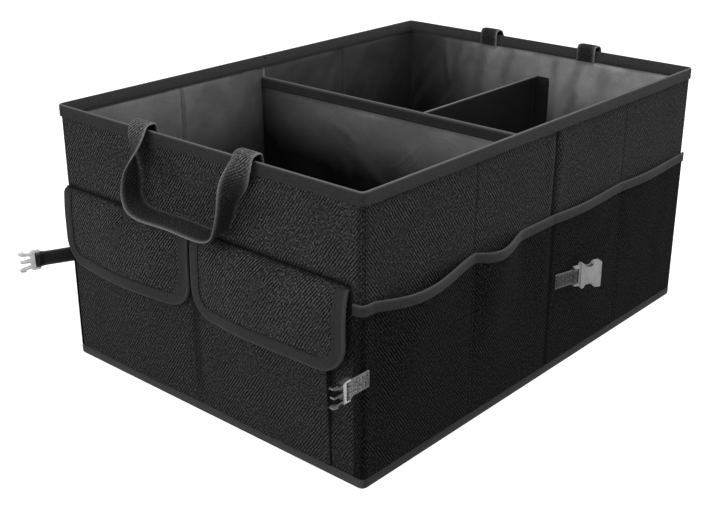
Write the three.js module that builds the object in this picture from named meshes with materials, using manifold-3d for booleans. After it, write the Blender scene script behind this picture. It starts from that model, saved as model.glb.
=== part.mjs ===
// Collapsible car trunk organizer: an open fabric box on stiff boards, with two lidded pockets on its front,
// open pockets along both long sides, two carrying handles, four holding straps and two dividers.
// Millimetres, +Z up. The origin is on the underside, in the middle of the box. The lidded pockets face -Y.
import * as THREE from "three";
import { mergeVertices } from "three/addons/utils/BufferGeometryUtils.js";
import Module from "manifold-3d";

const wasm = await Module();
wasm.setup();

// Box
const width = 380;
const length = 526;
const height = 260;
const cornerRadius = 6.2;
const foldY = 6;
const creaseDepth = 2.4;
const creaseHalfWidth = 5;

// Cloth, board and the gap that is left between pieces that touch
const clothThick = 1.0;
const liningThick = 0.7;
const boardThick = 2.4;
const tapeThick = 0.9;
const fit = 0.3;
const boardHingeGap = 14;

// Binding tapes
const rimTapeDrop = 11.5;
const baseTapeTop = 12.5;
const baseTapeLift = 0.5;

// Front pockets and their flaps
const flapSeamBelowRim = 80;
const flapHeight = 77;
const flapThick = 1.6;
const flapTapeWidth = 10.5;
const flapTapeStart = 5;
const flapTapeSlack = 0.3;
const flapCornerRadius = 26;
const flapLeftX = -187.6;
const flapSplitX = -7;
const flapSplitGap = 3;
const flapRightX = 178.4;
const flapRoomOverPocket = 4.3;
const flapRiseLength = 30;
const pocketMouthBelowFlapSeam = 20;
const pocketLeftX = -182;
const pocketRightX = 156;
const pocketStand = 7.5;
const pocketGussetStand = 5.7;
const pocketTapeWidth = 10.5;
const patchWidth = 60;
const patchHeight = 20;
const patchThick = 1.0;
const patchAboveFlapEdge = 14;

// Side pockets: where each bay is stitched down, how far its mouth stands off the wall, and how far it sags
const sidePocketHeight = 167;
const sidePocketTapeWidth = 11;
const sidePocketWrap = 9;
const frontSeamFromFold = 124;
const rearSeamFromFold = 124;
const frontBaySlack = { stand: 9, sag: 5 };
const middleBaySlack = { stand: 8, sag: 4 };
const middleBaySlackEnd = 52;
const rearBaySlack = { stand: 2, sag: 1 };

// Handles: flat webbing that hangs in a twisted loop outside the end wall
const handleWidth = 23;
const handleThick = 2.2;
const handleRootX = 66;
const handleArchRise = 5.5;
const handleStandOff = 7;
const handleAboveFlapSeam = 7.5;
const handleLoopHalf = 59;
const handleLoopCorner = 15;
const handleSway = -12.5;
const handleTwistStart = 2;
const handleTwistLength = 40;
const handleFootTilt = 12;

// Straps with side-release buckles
const webbingWidth = 15;
const webbingThick = 1.4;
const barRadius = 1.6;
const barClearance = 0.3;
const railThick = 1.9;
const railClearance = 0.4;
const maleRightZ = 103;
const maleLeftZ = 106;
const maleStrapFromCorner = 4.5;
const maleRightLength = 25;
const maleLeftLength = 37;
const maleLeftSwing = 24;
const maleLeftTurn = -9;
const femaleStrapZ = 96;
const femaleStrapFromFold = 8;
const femaleStrapLength = 26;
const femaleSwing = 14;
const femaleTurn = 15;
const maleThick = 4.4;
const maleProngLength = 12;
const femaleThick = 7.2;
const femaleLength = 29;
const femaleHalfHeight = 13.4;
const femaleWaistHalf = 8.8;
const femaleWaistLength = 5;
const femaleWall = 1.2;

// Dividers
const dividerCloth = 0.8;
const crossDividerY = 0;
const crossDividerBelowRim = 22;
const crossDividerTapeDrop = 11;
const longDividerX = 3;
const longDividerBelowRim = 38;
const longDividerTab = 14;
const longDividerTabDrop = 4;
const gripThick = 1.0;

// Worked out from the sizes above
const halfWidth = width / 2;
const halfLength = length / 2;
const boardDepth = clothThick + fit;
const liningDepth = boardDepth + boardThick + fit;
const wallDepth = liningDepth + liningThick;
const innerTapeDepth = wallDepth + fit;
const wallTop = height - tapeThick - fit;
const floorBoardZ = clothThick + fit;
const floorLiningZ = floorBoardZ + boardThick + fit;
const floorTop = floorLiningZ + liningThick;
const flapSeamZ = height - flapSeamBelowRim;
const flapBottomZ = flapSeamZ - flapHeight;
const pocketMouthZ = flapSeamZ - pocketMouthBelowFlapSeam;
const pocketFootZ = baseTapeTop + fit;
const panelOffset = fit + clothThick;
const crossDividerHeight = height - crossDividerBelowRim;
const longDividerHeight = height - longDividerBelowRim;

const v2 = (x, y) => new THREE.Vector2(x, y);
const v3 = (x, y, z) => new THREE.Vector3(x, y, z);
const lerp = THREE.MathUtils.lerp;
const smooth = (value, from, to) => THREE.MathUtils.smoothstep(value, from, to);
const radians = THREE.MathUtils.degToRad;

// count + 1 numbers from first to last, evenly spaced
function steps(first, last, count) {
  return Array.from({ length: count + 1 }, (_, i) => lerp(first, last, i / count));
}

// A rounded hump: 0 outside from..to, 1 in the middle
function hump(value, from, to) {
  const t = (value - from) / (to - from);
  return t <= 0 || t >= 1 ? 0 : Math.sin(Math.PI * t) ** 1.5;
}

// Geometry

// The same geometry with every face pointing out of the solid
function facingOut(geometry) {
  const p = geometry.attributes.position;
  const index = geometry.index.array;
  const a = v3();
  const b = v3();
  const c = v3();
  let volume = 0;
  for (let i = 0; i < index.length; i += 3) {
    a.fromBufferAttribute(p, index[i]);
    b.fromBufferAttribute(p, index[i + 1]);
    c.fromBufferAttribute(p, index[i + 2]);
    volume += a.dot(b.cross(c));
  }
  if (volume < 0) {
    for (let i = 0; i < index.length; i += 3) {
      [index[i + 1], index[i + 2]] = [index[i + 2], index[i + 1]];
    }
  }
  geometry.computeVertexNormals();
  return geometry;
}

// A closed solid between two grids of points: rows run along the piece, and each row runs across it.
// With ring set, the last row joins the first.
function sheet(outer, inner, ring = false) {
  const rows = outer.length;
  const across = outer[0].length;
  const points = [...outer, ...inner].flat();
  const index = [];
  const at = (skin, i, j) => (skin * rows + (i % rows)) * across + j;
  const quad = (a, b, c, d) => index.push(a, b, c, a, c, d);
  for (let i = 0; i < (ring ? rows : rows - 1); i += 1) {
    for (let j = 0; j < across - 1; j += 1) {
      quad(at(0, i, j), at(0, i + 1, j), at(0, i + 1, j + 1), at(0, i, j + 1));
      quad(at(1, i, j), at(1, i, j + 1), at(1, i + 1, j + 1), at(1, i + 1, j));
    }
    quad(at(0, i, 0), at(1, i, 0), at(1, i + 1, 0), at(0, i + 1, 0));
    const last = across - 1;
    quad(at(0, i, last), at(0, i + 1, last), at(1, i + 1, last), at(1, i, last));
  }
  for (let j = 0; j < across - 1 && !ring; j += 1) {
    const end = rows - 1;
    quad(at(0, 0, j), at(0, 0, j + 1), at(1, 0, j + 1), at(1, 0, j));
    quad(at(0, end, j), at(1, end, j), at(1, end, j + 1), at(0, end, j + 1));
  }
  const geometry = new THREE.BufferGeometry().setFromPoints(points);
  geometry.setIndex(index);
  return facingOut(geometry);
}

// A box between two corners
function block(low, high) {
  const size = high.clone().sub(low);
  const middle = low.clone().add(high).multiplyScalar(0.5);
  return new THREE.BoxGeometry(size.x, size.y, size.z).translate(middle.x, middle.y, middle.z);
}

// A flat outline, drawn in X and Y, raised from z = low to z = high
function raised(shape, low, high) {
  const geometry = new THREE.ExtrudeGeometry(shape, {
    depth: high - low,
    bevelEnabled: false,
    curveSegments: 6,
  });
  return geometry.translate(0, 0, low);
}

// Corner points only, with the vertices that meet merged
function welded(geometry) {
  const bare = geometry.clone();
  bare.deleteAttribute("normal");
  bare.deleteAttribute("uv");
  return mergeVertices(bare, 1e-4);
}

function solid(geometry) {
  const bare = welded(geometry);
  return new wasm.Manifold(
    new wasm.Mesh({
      numProp: 3,
      vertProperties: bare.attributes.position.array,
      triVerts: new Uint32Array(bare.index.array),
    }),
  );
}

function fromSolid(body) {
  const mesh = body.getMesh();
  const geometry = new THREE.BufferGeometry();
  geometry.setAttribute("position", new THREE.BufferAttribute(mesh.vertProperties, 3));
  geometry.setIndex(new THREE.BufferAttribute(mesh.triVerts, 1));
  geometry.computeVertexNormals();
  return geometry;
}

function joined(first, ...others) {
  return fromSolid(others.reduce((body, piece) => body.add(solid(piece)), solid(first)));
}

function cutBy(first, ...tools) {
  return fromSolid(tools.reduce((body, tool) => body.subtract(solid(tool)), solid(first)));
}

// Materials
const finish = (color, roughness) => ({ color, roughness, metalness: 0 });
const twillCloth = finish(0x1b1b1c, 0.85);
const liningCloth = finish(0x4c4c4d, 0.55);
const bindingTape = finish(0x29292a, 0.7);
const webbing = finish(0x3a3a3b, 0.8);
const greyboard = finish(0x8b7f6d, 0.9);
const buckleNylon = finish(0x8d8d8e, 0.45);
const gripTape = finish(0x151516, 0.95);

const organizer = new THREE.Group();

function add(name, geometry, look) {
  const mesh = new THREE.Mesh(geometry, new THREE.MeshStandardMaterial(look));
  mesh.name = name;
  organizer.add(mesh);
}

// Plan of the walls

// A station stands on the outline of the box, with its outward direction. Its point at a depth lies that
// far inside the outer face of the cloth, and a negative depth lies outside it.
function station(centre, direction, reach = 0) {
  return {
    y: centre.y + direction.y * reach,
    x: centre.x + direction.x * reach,
    at: (depth) => centre.clone().addScaledVector(direction, reach - depth),
  };
}

// Stations round a corner of the box, between two headings in degrees
function cornerStations(signX, signY, from, to, count) {
  const centre = v2(signX * (halfWidth - cornerRadius), signY * (halfLength - cornerRadius));
  return steps(radians(from), radians(to), count).map((angle) =>
    station(centre, v2(Math.cos(angle), Math.sin(angle)), cornerRadius),
  );
}

// The fold in the middle of a long wall, where its cloth is creased inwards
function creaseStations(side) {
  const direction = v2(side, 0);
  const stand = (y, depth) => station(v2(side * halfWidth, y), direction, -depth);
  return [
    stand(foldY - creaseHalfWidth, 0),
    stand(foldY - creaseHalfWidth / 3, creaseDepth),
    stand(foldY + creaseHalfWidth / 3, creaseDepth),
    stand(foldY + creaseHalfWidth, 0),
  ];
}

// The panels meet in the middle of each corner, and are trimmed there by this angle in degrees
const arcSteps = 4;
const seamTrim = THREE.MathUtils.radToDeg(fit / 2 / cornerRadius);
const quarterStations = {
  front: [
    ...cornerStations(-1, -1, 225 + seamTrim, 270, arcSteps),
    ...cornerStations(1, -1, 270, 315 - seamTrim, arcSteps),
  ],
  back: [
    ...cornerStations(1, 1, 45 + seamTrim, 90, arcSteps),
    ...cornerStations(-1, 1, 90, 135 - seamTrim, arcSteps),
  ],
};

function longWallStations(side, middle) {
  const turn = (angle) => (side > 0 ? angle : 180 - angle);
  return [
    ...cornerStations(side, -1, turn(-45 + seamTrim), turn(0), arcSteps),
    ...middle,
    ...cornerStations(side, 1, turn(0), turn(45 - seamTrim), arcSteps),
  ];
}

// A wall sheet between two depths and two heights
function wallSheet(stations, outerDepth, innerDepth, low, high) {
  const skin = (depth) =>
    stations.map((s) => {
      const p = s.at(depth);
      return [v3(p.x, p.y, low), v3(p.x, p.y, high)];
    });
  return sheet(skin(outerDepth), skin(innerDepth));
}

function addWalls() {
  const creasedRight = longWallStations(1, creaseStations(1));
  const creasedLeft = longWallStations(-1, creaseStations(-1));
  const straightRight = longWallStations(1, []);
  const straightLeft = longWallStations(-1, []);
  const outer = { ...quarterStations, right: creasedRight, left: creasedLeft };
  const inner = { ...quarterStations, right: straightRight, left: straightLeft };
  for (const side of ["front", "back", "left", "right"]) {
    add(`outer_${side}`, wallSheet(outer[side], 0, clothThick, floorBoardZ, wallTop), twillCloth);
    const lining = wallSheet(inner[side], liningDepth, wallDepth, floorTop + fit, wallTop);
    add(`lining_${side}`, lining, liningCloth);
  }
}

// Stiff boards in the walls and the base. Those that cross the fold are in two halves.
function addBoards() {
  const outerY = halfLength - boardDepth;
  const outerX = halfWidth - boardDepth;
  const endX = halfWidth - cornerRadius;
  const endY = halfLength - cornerRadius;
  const halves = {
    front: [-endY, foldY - boardHingeGap / 2],
    rear: [foldY + boardHingeGap / 2, endY],
  };
  const endBoard = (sign) => {
    const faces = [sign * outerY, sign * (outerY - boardThick)];
    return block(v3(-endX, Math.min(...faces), floorBoardZ), v3(endX, Math.max(...faces), wallTop));
  };
  add("board_front", endBoard(-1), greyboard);
  add("board_back", endBoard(1), greyboard);
  for (const [half, [from, to]] of Object.entries(halves)) {
    for (const [name, sign] of [["left", -1], ["right", 1]]) {
      const faces = [sign * outerX, sign * (outerX - boardThick)];
      const low = v3(Math.min(...faces), from, floorBoardZ);
      const high = v3(Math.max(...faces), to, wallTop);
      add(`board_${name}_${half}`, block(low, high), greyboard);
    }
    const baseX = outerX - boardThick - fit;
    const reach = outerY - boardThick - fit;
    const low = v3(-baseX, Math.max(from, -reach), floorBoardZ);
    const high = v3(baseX, Math.min(to, reach), floorBoardZ + boardThick);
    add(`board_base_${half}`, block(low, high), greyboard);
  }
}

// All stations round the box, in order
const ringStations = [
  ...cornerStations(1, -1, 270, 360, 2 * arcSteps),
  ...cornerStations(1, 1, 0, 90, 2 * arcSteps),
  ...cornerStations(-1, 1, 90, 180, 2 * arcSteps),
  ...cornerStations(-1, -1, 180, 270, 2 * arcSteps),
];

function addBase() {
  const outline = ringStations.map((s) => s.at(0));
  add("outer_base", raised(new THREE.Shape(outline), 0, clothThick), twillCloth);
  const floor = ringStations.map((s) => s.at(liningDepth));
  add("lining_floor", raised(new THREE.Shape(floor), floorLiningZ, floorTop), liningCloth);
}

// The tape that binds the rim is folded over the walls. The base tape is flat round the foot of the walls.
function addTapes() {
  const fold = (out, into, top) => (s) => {
    const lowZ = height - rimTapeDrop;
    const outside = s.at(out);
    const inside = s.at(into);
    return [
      v3(outside.x, outside.y, lowZ),
      v3(outside.x, outside.y, top),
      v3(inside.x, inside.y, top),
      v3(inside.x, inside.y, lowZ),
    ];
  };
  const outerFold = fold(-fit - tapeThick, innerTapeDepth + tapeThick, height);
  const innerFold = fold(-fit, innerTapeDepth, height - tapeThick);
  add("rim_tape", sheet(ringStations.map(outerFold), ringStations.map(innerFold), true), bindingTape);
  const band = (depth) =>
    ringStations.map((s) => {
      const p = s.at(depth);
      return [v3(p.x, p.y, baseTapeLift), v3(p.x, p.y, baseTapeTop)];
    });
  add("base_tape", sheet(band(-fit - tapeThick), band(-fit), true), bindingTape);
}

// Front pockets

// How far the pocket cloth is lifted off its sewn-down state at a place across the front
function pocketLift(x) {
  const left = pocketStand * hump(x, pocketLeftX, flapSplitX);
  const middle = (flapSplitX + pocketRightX) / 2;
  if (x <= flapSplitX) {
    return left;
  }
  if (x <= middle) {
    return pocketStand * hump(x, flapSplitX, 2 * middle - flapSplitX);
  }
  return lerp(pocketStand, pocketGussetStand, smooth(x, middle, pocketRightX));
}

// Beyond the pocket's open edge the flap comes back towards the wall
function flapLift(x) {
  return pocketLift(x) * (1 - 0.5 * smooth(x, pocketRightX, flapRightX));
}

function pocketOffset(x, z) {
  const rise = 0.15 + 0.85 * smooth(z, pocketFootZ, pocketMouthZ);
  const gusset = 1 - smooth(x, pocketRightX - 1.2, pocketRightX);
  return panelOffset + pocketLift(x) * rise * gusset;
}

function frontPoint(x, offset, z) {
  return v3(x, -halfLength - offset, z);
}

function addFrontPocket() {
  const columns = [
    ...steps(pocketLeftX, flapSplitX, 12),
    ...steps(flapSplitX, pocketRightX - 1.2, 12).slice(1),
    pocketRightX - 0.6,
    pocketRightX,
  ];
  const top = pocketMouthZ - tapeThick - fit;
  const heights = steps(pocketFootZ, top, 5);
  const skin = (shift) =>
    columns.map((x) => heights.map((z) => frontPoint(x, pocketOffset(x, z) - shift, z)));
  add("front_pocket_panel", sheet(skin(0), skin(clothThick)), twillCloth);
  const tapeColumns = columns.filter((x) => x <= pocketRightX - 1.2);
  const low = pocketMouthZ - pocketTapeWidth;
  const binding = (gap, topZ) =>
    tapeColumns.map((x) => [
      frontPoint(x, pocketOffset(x, low) + gap, low),
      frontPoint(x, pocketOffset(x, topZ) + gap, topZ),
      frontPoint(x, pocketOffset(x, topZ) - clothThick, topZ),
    ]);
  const tape = sheet(binding(fit + tapeThick, pocketMouthZ), binding(fit, pocketMouthZ - tapeThick));
  add("front_pocket_tape", tape, bindingTape);
}

// Inner face of a flap: sewn to the wall at its seam, then standing over the pocket
function flapOffset(x, z) {
  const depth = flapSeamZ - z;
  const clearOfWall = clothThick + fit + tapeThick;
  const room = flapRoomOverPocket - clearOfWall + flapLift(x);
  const risen = Math.sin((Math.PI / 2) * Math.min(1, Math.max(0, depth) / flapRiseLength));
  return fit + clearOfWall * smooth(depth, 0, flapTapeStart) + room * risen;
}

// A flap between two edges, with its lower corners rounded, and the tape round its free edges
function addFlap(name, leftX, rightX) {
  const edge = fit + tapeThick;
  const left = leftX + edge;
  const right = rightX - edge;
  const bottom = flapBottomZ + edge;
  const radius = flapCornerRadius - edge;
  const footOf = (x) => {
    const reach = Math.max(0, left + radius - x, x - right + radius);
    return bottom + radius - Math.sqrt(Math.max(0, radius * radius - reach * reach));
  };
  const corner = [0, 10, 25, 40, 55, 72, 90].map((angle) => radius * (1 - Math.cos(radians(angle))));
  const columns = [
    ...corner.map((reach) => left + reach),
    ...steps(left + radius, right - radius, 8).slice(1, -1),
    ...corner.map((reach) => right - reach).reverse(),
  ];
  const rows = (footZ) => steps(0, 1, 10).map((t) => lerp(flapSeamZ, footZ, t ** 1.5));
  const skin = (shift) =>
    columns.map((x) => rows(footOf(x)).map((z) => frontPoint(x, flapOffset(x, z) + shift, z)));
  add(name, sheet(skin(flapThick), skin(0)), twillCloth);

  const top = flapSeamZ - flapTapeStart;
  const arc = (centreX, from, to) =>
    steps(radians(from), radians(to), 6).map((angle) => ({
      x: centreX + radius * Math.cos(angle),
      z: bottom + radius + radius * Math.sin(angle),
      inX: -Math.cos(angle),
      inZ: -Math.sin(angle),
    }));
  const side = (x, inX, zs) => zs.map((z) => ({ x, z, inX, inZ: 0 }));
  const foot = (xs) => xs.map((x) => ({ x, z: bottom, inX: 0, inZ: 1 }));
  const path = [
    ...side(left, 1, steps(top, bottom + radius, 4).slice(0, -1)),
    ...arc(left + radius, 180, 270),
    ...foot(steps(left + radius, right - radius, 8).slice(1, -1)),
    ...arc(right - radius, 270, 360),
    ...side(right, -1, steps(bottom + radius, top, 4).slice(1)),
  ];
  const place = (p, inward, face, gap) => {
    const x = p.x + p.inX * inward;
    const z = p.z + p.inZ * inward;
    return frontPoint(x, flapOffset(x, z) + face + gap, z);
  };
  const folded = (gap) => {
    const slack = gap + flapTapeSlack;
    return path.map((p) => [
      place(p, flapTapeWidth, flapThick, slack),
      place(p, flapTapeWidth / 2, flapThick, slack),
      place(p, -gap, flapThick, slack),
      place(p, -gap, 0, -slack),
      place(p, flapTapeWidth / 2, 0, -slack),
      place(p, flapTapeWidth, 0, -slack),
    ]);
  };
  add(`${name}_tape`, sheet(folded(fit + tapeThick), folded(fit)), bindingTape);
}

// Hook patch on a flap's inner face and loop patch on the pocket behind it
function addPatches(side, centreX) {
  const columns = steps(centreX - patchWidth / 2, centreX + patchWidth / 2, 6);
  const low = flapBottomZ + patchAboveFlapEdge;
  const heights = steps(low, low + patchHeight, 2);
  const grid = (offset) => columns.map((x) => heights.map((z) => frontPoint(x, offset(x, z), z)));
  const hook = sheet(
    grid((x, z) => flapOffset(x, z) - fit),
    grid((x, z) => flapOffset(x, z) - fit - patchThick),
  );
  const loop = sheet(
    grid((x, z) => pocketOffset(x, z) + fit + patchThick),
    grid((x, z) => pocketOffset(x, z) + fit),
  );
  add(`flap_${side}_hook_patch`, hook, gripTape);
  add(`pocket_${side}_loop_patch`, loop, gripTape);
}

// Side pockets

const bays = [
  { from: -halfLength + 2 * cornerRadius, to: foldY - frontSeamFromFold, ...frontBaySlack },
  { from: foldY - frontSeamFromFold, to: foldY - middleBaySlackEnd, ...middleBaySlack },
  { from: foldY, to: foldY + rearSeamFromFold, ...rearBaySlack },
  { from: foldY + rearSeamFromFold, to: halfLength - 2 * cornerRadius, ...rearBaySlack },
];

function sideLift(y, z) {
  const rise = smooth(z, pocketFootZ, sidePocketHeight) ** 1.3;
  return bays.reduce((sum, bay) => sum + bay.stand * hump(y, bay.from, bay.to) * rise, 0);
}

function mouthHeight(y) {
  return sidePocketHeight - bays.reduce((sum, bay) => sum + bay.sag * hump(y, bay.from, bay.to), 0);
}

// The right pocket row is carried round the front corner, clear of the flap beside it
function addSidePocket(name, side) {
  const direction = v2(side, 0);
  const along = steps(-halfLength + cornerRadius, halfLength - cornerRadius, 48).slice(1, -1);
  const middle = along.map((y) => station(v2(side * halfWidth, y), direction));
  const turn = (angle) => (side > 0 ? angle : 180 - angle);
  const lead = side > 0
    ? [station(v2(halfWidth - sidePocketWrap, -halfLength), v2(0, -1)),
      ...cornerStations(1, -1, -90, 0, 2 * arcSteps)]
    : cornerStations(-1, -1, turn(-45), turn(0), arcSteps);
  const stations = [...lead, ...middle, ...cornerStations(side, 1, turn(0), turn(45), arcSteps)];
  const point = (s, z, gap) => {
    const p = s.at(-panelOffset - sideLift(s.y, z) - gap);
    return v3(p.x, p.y, z);
  };
  const skin = (gap) =>
    stations.map((s) =>
      steps(pocketFootZ, mouthHeight(s.y) - tapeThick - fit, 5).map((z) => point(s, z, gap)),
    );
  add(`${name}_panel`, sheet(skin(0), skin(-clothThick)), twillCloth);
  const binding = (gap, drop) =>
    stations.map((s) => {
      const top = mouthHeight(s.y) - drop;
      const low = mouthHeight(s.y) - sidePocketTapeWidth;
      return [point(s, low, gap), point(s, top, gap), point(s, top, -clothThick)];
    });
  add(`${name}_tape`, sheet(binding(fit + tapeThick, 0), binding(fit, tapeThick)), bindingTape);
}

// Handles

// The top of the arch, where the loop swings and its sewn ends begin, for the front handle
const archY = -halfLength + wallDepth / 2;
const archZ = height + handleArchRise;
const loopFootZ = flapSeamZ + handleAboveFlapSeam;
const legY = -halfLength - fit - tapeThick - handleStandOff;
const loopY = -halfLength - (fit + tapeThick) * 2 - handleWidth / 2;

// A flat band along a curve. across(t) gives the direction of its width.
function band(curve, count, across) {
  const outer = [];
  const inner = [];
  for (const t of steps(0, 1, count)) {
    const centre = curve.getPoint(t);
    const along = curve.getTangent(t);
    const wide = across(t, centre).addScaledVector(along, -across(t, centre).dot(along)).normalize();
    const thick = along.clone().cross(wide).multiplyScalar(handleThick / 2);
    const edges = [-handleWidth / 2, handleWidth / 2].map((d) => centre.clone().addScaledVector(wide, d));
    outer.push(edges.map((p) => p.clone().add(thick)));
    inner.push(edges.map((p) => p.clone().sub(thick)));
  }
  return sheet(outer, inner);
}

function loopCurve() {
  const left = -handleLoopHalf + handleSway;
  const right = handleLoopHalf + handleSway;
  const corner = handleLoopCorner;
  const leg = (sign, foot) => [
    v3(sign * handleRootX, archY - fit / 2, archZ),
    v3(sign * handleRootX, archY - fit / 2 - handleThick, archZ),
    v3(sign * handleRootX, lerp(archY, legY, 0.6), archZ - 1.5),
    v3(sign * handleRootX, legY, archZ - 10),
    v3(lerp(sign * handleRootX, foot, 0.45), lerp(legY, loopY, 0.85), archZ - 32),
    v3(foot, loopY, loopFootZ + 2 * corner),
    v3(foot, loopY, loopFootZ + corner),
    v3(foot - sign * corner * 0.3, loopY, loopFootZ + corner * 0.3),
    v3(foot - sign * corner, loopY, loopFootZ),
  ];
  const foot = [v3((left + right) / 2, loopY, loopFootZ)];
  return new THREE.CatmullRomCurve3([...leg(-1, left), ...foot, ...leg(1, right).reverse()]);
}

// The band is flat against the wall at the arch, turns edge-on on its way down, and tilts at its foot
function loopAcross(t, centre) {
  const twistTop = archZ - handleTwistStart;
  const turned = (Math.PI / 2) * (1 - smooth(centre.z, twistTop - handleTwistLength, twistTop));
  const swing = t < 0.5 ? turned : Math.PI - turned;
  return v3(Math.cos(swing), -Math.sin(swing), -Math.sin(swing) * Math.tan(radians(handleFootTilt)));
}

function endCurve(sign) {
  const innerY = -halfLength + innerTapeDepth + tapeThick + fit + handleThick / 2;
  const x = sign * handleRootX;
  return new THREE.CatmullRomCurve3([
    v3(x, archY + fit / 2, archZ),
    v3(x, archY + fit / 2 + handleThick / 2, archZ),
    v3(x, lerp(archY, innerY, 0.7), archZ - 1),
    v3(x, innerY, archZ - 6),
    v3(x, innerY, height - 2),
    v3(x, innerY, height - rimTapeDrop),
  ]);
}

function addHandle(name, turned) {
  const facing = (geometry) => facingOut(turned ? geometry.rotateZ(Math.PI) : geometry);
  add(`${name}_loop`, facing(band(loopCurve(), 64, loopAcross)), webbing);
  for (const [side, sign] of [["left", -1], ["right", 1]]) {
    const sewn = band(endCurve(sign), 10, () => v3(1, 0, 0));
    add(`${name}_sewn_end_${side}`, facing(sewn), webbing);
  }
}

// Straps and buckles

// A strap's own frame: X runs from its sewn root to the buckle, Y away from the wall, Z up.
// heading is +1 or -1 for a strap that runs towards +Y or -Y, and swing turns it away from the wall.
function strapFrame({ side, heading, rootY, z, swing }) {
  const root = v3(side * (halfWidth + panelOffset + fit), rootY, z);
  const frame = new THREE.Matrix4().makeBasis(v3(0, heading, 0), v3(side, 0, 0), v3(0, 0, 1));
  frame.setPosition(root);
  return frame.multiply(new THREE.Matrix4().makeRotationZ(radians(swing)));
}

function strapGeometry(reach) {
  const half = webbingThick / 2;
  const loop = barRadius + barClearance + webbingThick;
  const meet = Math.asin(half / loop);
  const outline = new THREE.Shape();
  outline.moveTo(0, 0);
  outline.lineTo(reach - loop * Math.cos(meet), 0);
  outline.absarc(reach, half, loop, Math.PI + meet, 3 * Math.PI - meet, false);
  outline.lineTo(0, webbingThick);
  const hole = new THREE.Path();
  hole.absarc(reach, half, barRadius + barClearance, 0, 2 * Math.PI, true);
  outline.holes.push(hole);
  return raised(outline, -webbingWidth / 2, webbingWidth / 2);
}

// A buckle's outline is drawn with X along the strap and Y up, and is then laid on its side
function buckleBody(outline, thick) {
  return raised(outline, -thick / 2, thick / 2).rotateX(Math.PI / 2);
}

const slotHalf = webbingWidth / 2 + railClearance;
const railHalf = slotHalf + railThick;
const slotEnd = barRadius + barClearance + webbingThick + railClearance;

// The rails that hold the bar, drawn as one half from the bar to the body
function railedOutline(half) {
  const mirrored = half.map((p) => v2(p.x, -p.y)).reverse();
  return new THREE.Shape([...mirrored, ...half]);
}

function barGeometry(halfHeight) {
  return new THREE.CylinderGeometry(barRadius, barRadius, 2 * halfHeight, 12).rotateX(Math.PI / 2);
}

function slotTool(thick) {
  return block(v3(-3 * barRadius, -thick, -slotHalf), v3(slotEnd, thick, slotHalf));
}

function maleBuckle() {
  const shoulder = slotEnd + 4;
  const tip = shoulder + maleProngLength;
  const outline = railedOutline([
    v2(shoulder + maleProngLength * 0.85, 0.9),
    v2(shoulder, 1.6),
    v2(shoulder, railHalf - 4.4),
    v2(tip - 3, railHalf - 3.2),
    v2(tip, railHalf - 1.6),
    v2(tip - 1, railHalf - 0.2),
    v2(tip - 6, railHalf + 0.4),
    v2(tip - 6.5, railHalf - 1.6),
    v2(shoulder, railHalf - 2.2),
    v2(shoulder - 1, railHalf),
    v2(-barRadius, railHalf),
  ].reverse());
  const frame = cutBy(buckleBody(outline, maleThick), slotTool(maleThick));
  return joined(frame, barGeometry(railHalf - railThick / 2));
}

// The socket is taller than the waist, so it opens at both sides there, where the prongs are pressed
function femaleBuckle() {
  const start = slotEnd + 1.2;
  const end = femaleLength - barRadius;
  const high = femaleHalfHeight;
  const waistFrom = start + 6.6;
  const waistTo = waistFrom + femaleWaistLength;
  const outline = railedOutline([
    v2(end, high - 0.8),
    v2(end - 0.8, high),
    v2(waistTo + 4.6, high - 0.4),
    v2(waistTo + 3.2, high - 1.2),
    v2(waistTo + 1.2, femaleWaistHalf + 0.7),
    v2(waistTo, femaleWaistHalf),
    v2(waistFrom, femaleWaistHalf),
    v2(waistFrom - 1.2, femaleWaistHalf + 0.7),
    v2(waistFrom - 3, high - 1),
    v2(start + 1.8, high - 0.5),
    v2(start, railHalf + 1.4),
    v2(start - 1.4, railHalf + 0.4),
    v2(-barRadius, railHalf),
  ].reverse());
  const rails = buckleBody(outline, maleThick);
  const shellBox = block(v3(start, -femaleThick, -2 * high), v3(end + 1, femaleThick, 2 * high));
  const shell = fromSolid(solid(buckleBody(outline, femaleThick)).intersect(solid(shellBox)));
  const socketHalf = femaleThick / 2 - femaleWall;
  const socketHeight = high - 1.8 - femaleWall;
  const socket = block(v3(start + 3, -socketHalf, -socketHeight), v3(end + 1, socketHalf, socketHeight));
  const body = joined(rails, shell);
  const slotted = cutBy(body, socket, slotTool(femaleThick));
  return joined(slotted, barGeometry(railHalf - railThick / 2));
}

function addStrap(name, buckleName, layout) {
  const frame = strapFrame(layout);
  const webbed = welded(strapGeometry(layout.reach)).applyMatrix4(frame);
  add(name, facingOut(webbed), webbing);
  const turn = new THREE.Matrix4().makeRotationZ(radians(layout.turn));
  turn.setPosition(layout.reach, webbingThick / 2, 0);
  const buckle = layout.kind === "male" ? maleBuckle() : femaleBuckle();
  add(buckleName, facingOut(buckle.applyMatrix4(frame.clone().multiply(turn))), buckleNylon);
}

function addStraps() {
  const corner = {
    heading: -1,
    rootY: -halfLength + maleStrapFromCorner,
    kind: "male",
  };
  const middle = {
    heading: 1,
    rootY: foldY + femaleStrapFromFold,
    z: femaleStrapZ,
    kind: "female",
    swing: femaleSwing,
    turn: femaleTurn,
    reach: femaleStrapLength,
  };
  addStrap("strap_front_right", "buckle_male_right", {
    ...corner,
    side: 1,
    z: maleRightZ,
    swing: 0,
    turn: 0,
    reach: maleRightLength,
  });
  addStrap("strap_front_left", "buckle_male_left", {
    ...corner,
    side: -1,
    z: maleLeftZ,
    swing: maleLeftSwing,
    turn: maleLeftTurn,
    reach: maleLeftLength,
  });
  addStrap("strap_middle_right", "buckle_female_right", { ...middle, side: 1 });
  addStrap("strap_middle_left", "buckle_female_left", { ...middle, side: -1 });
}

// Dividers

const dividerHalf = boardThick / 2 + fit + dividerCloth;
const dividerFloor = floorTop + fit;

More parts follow.
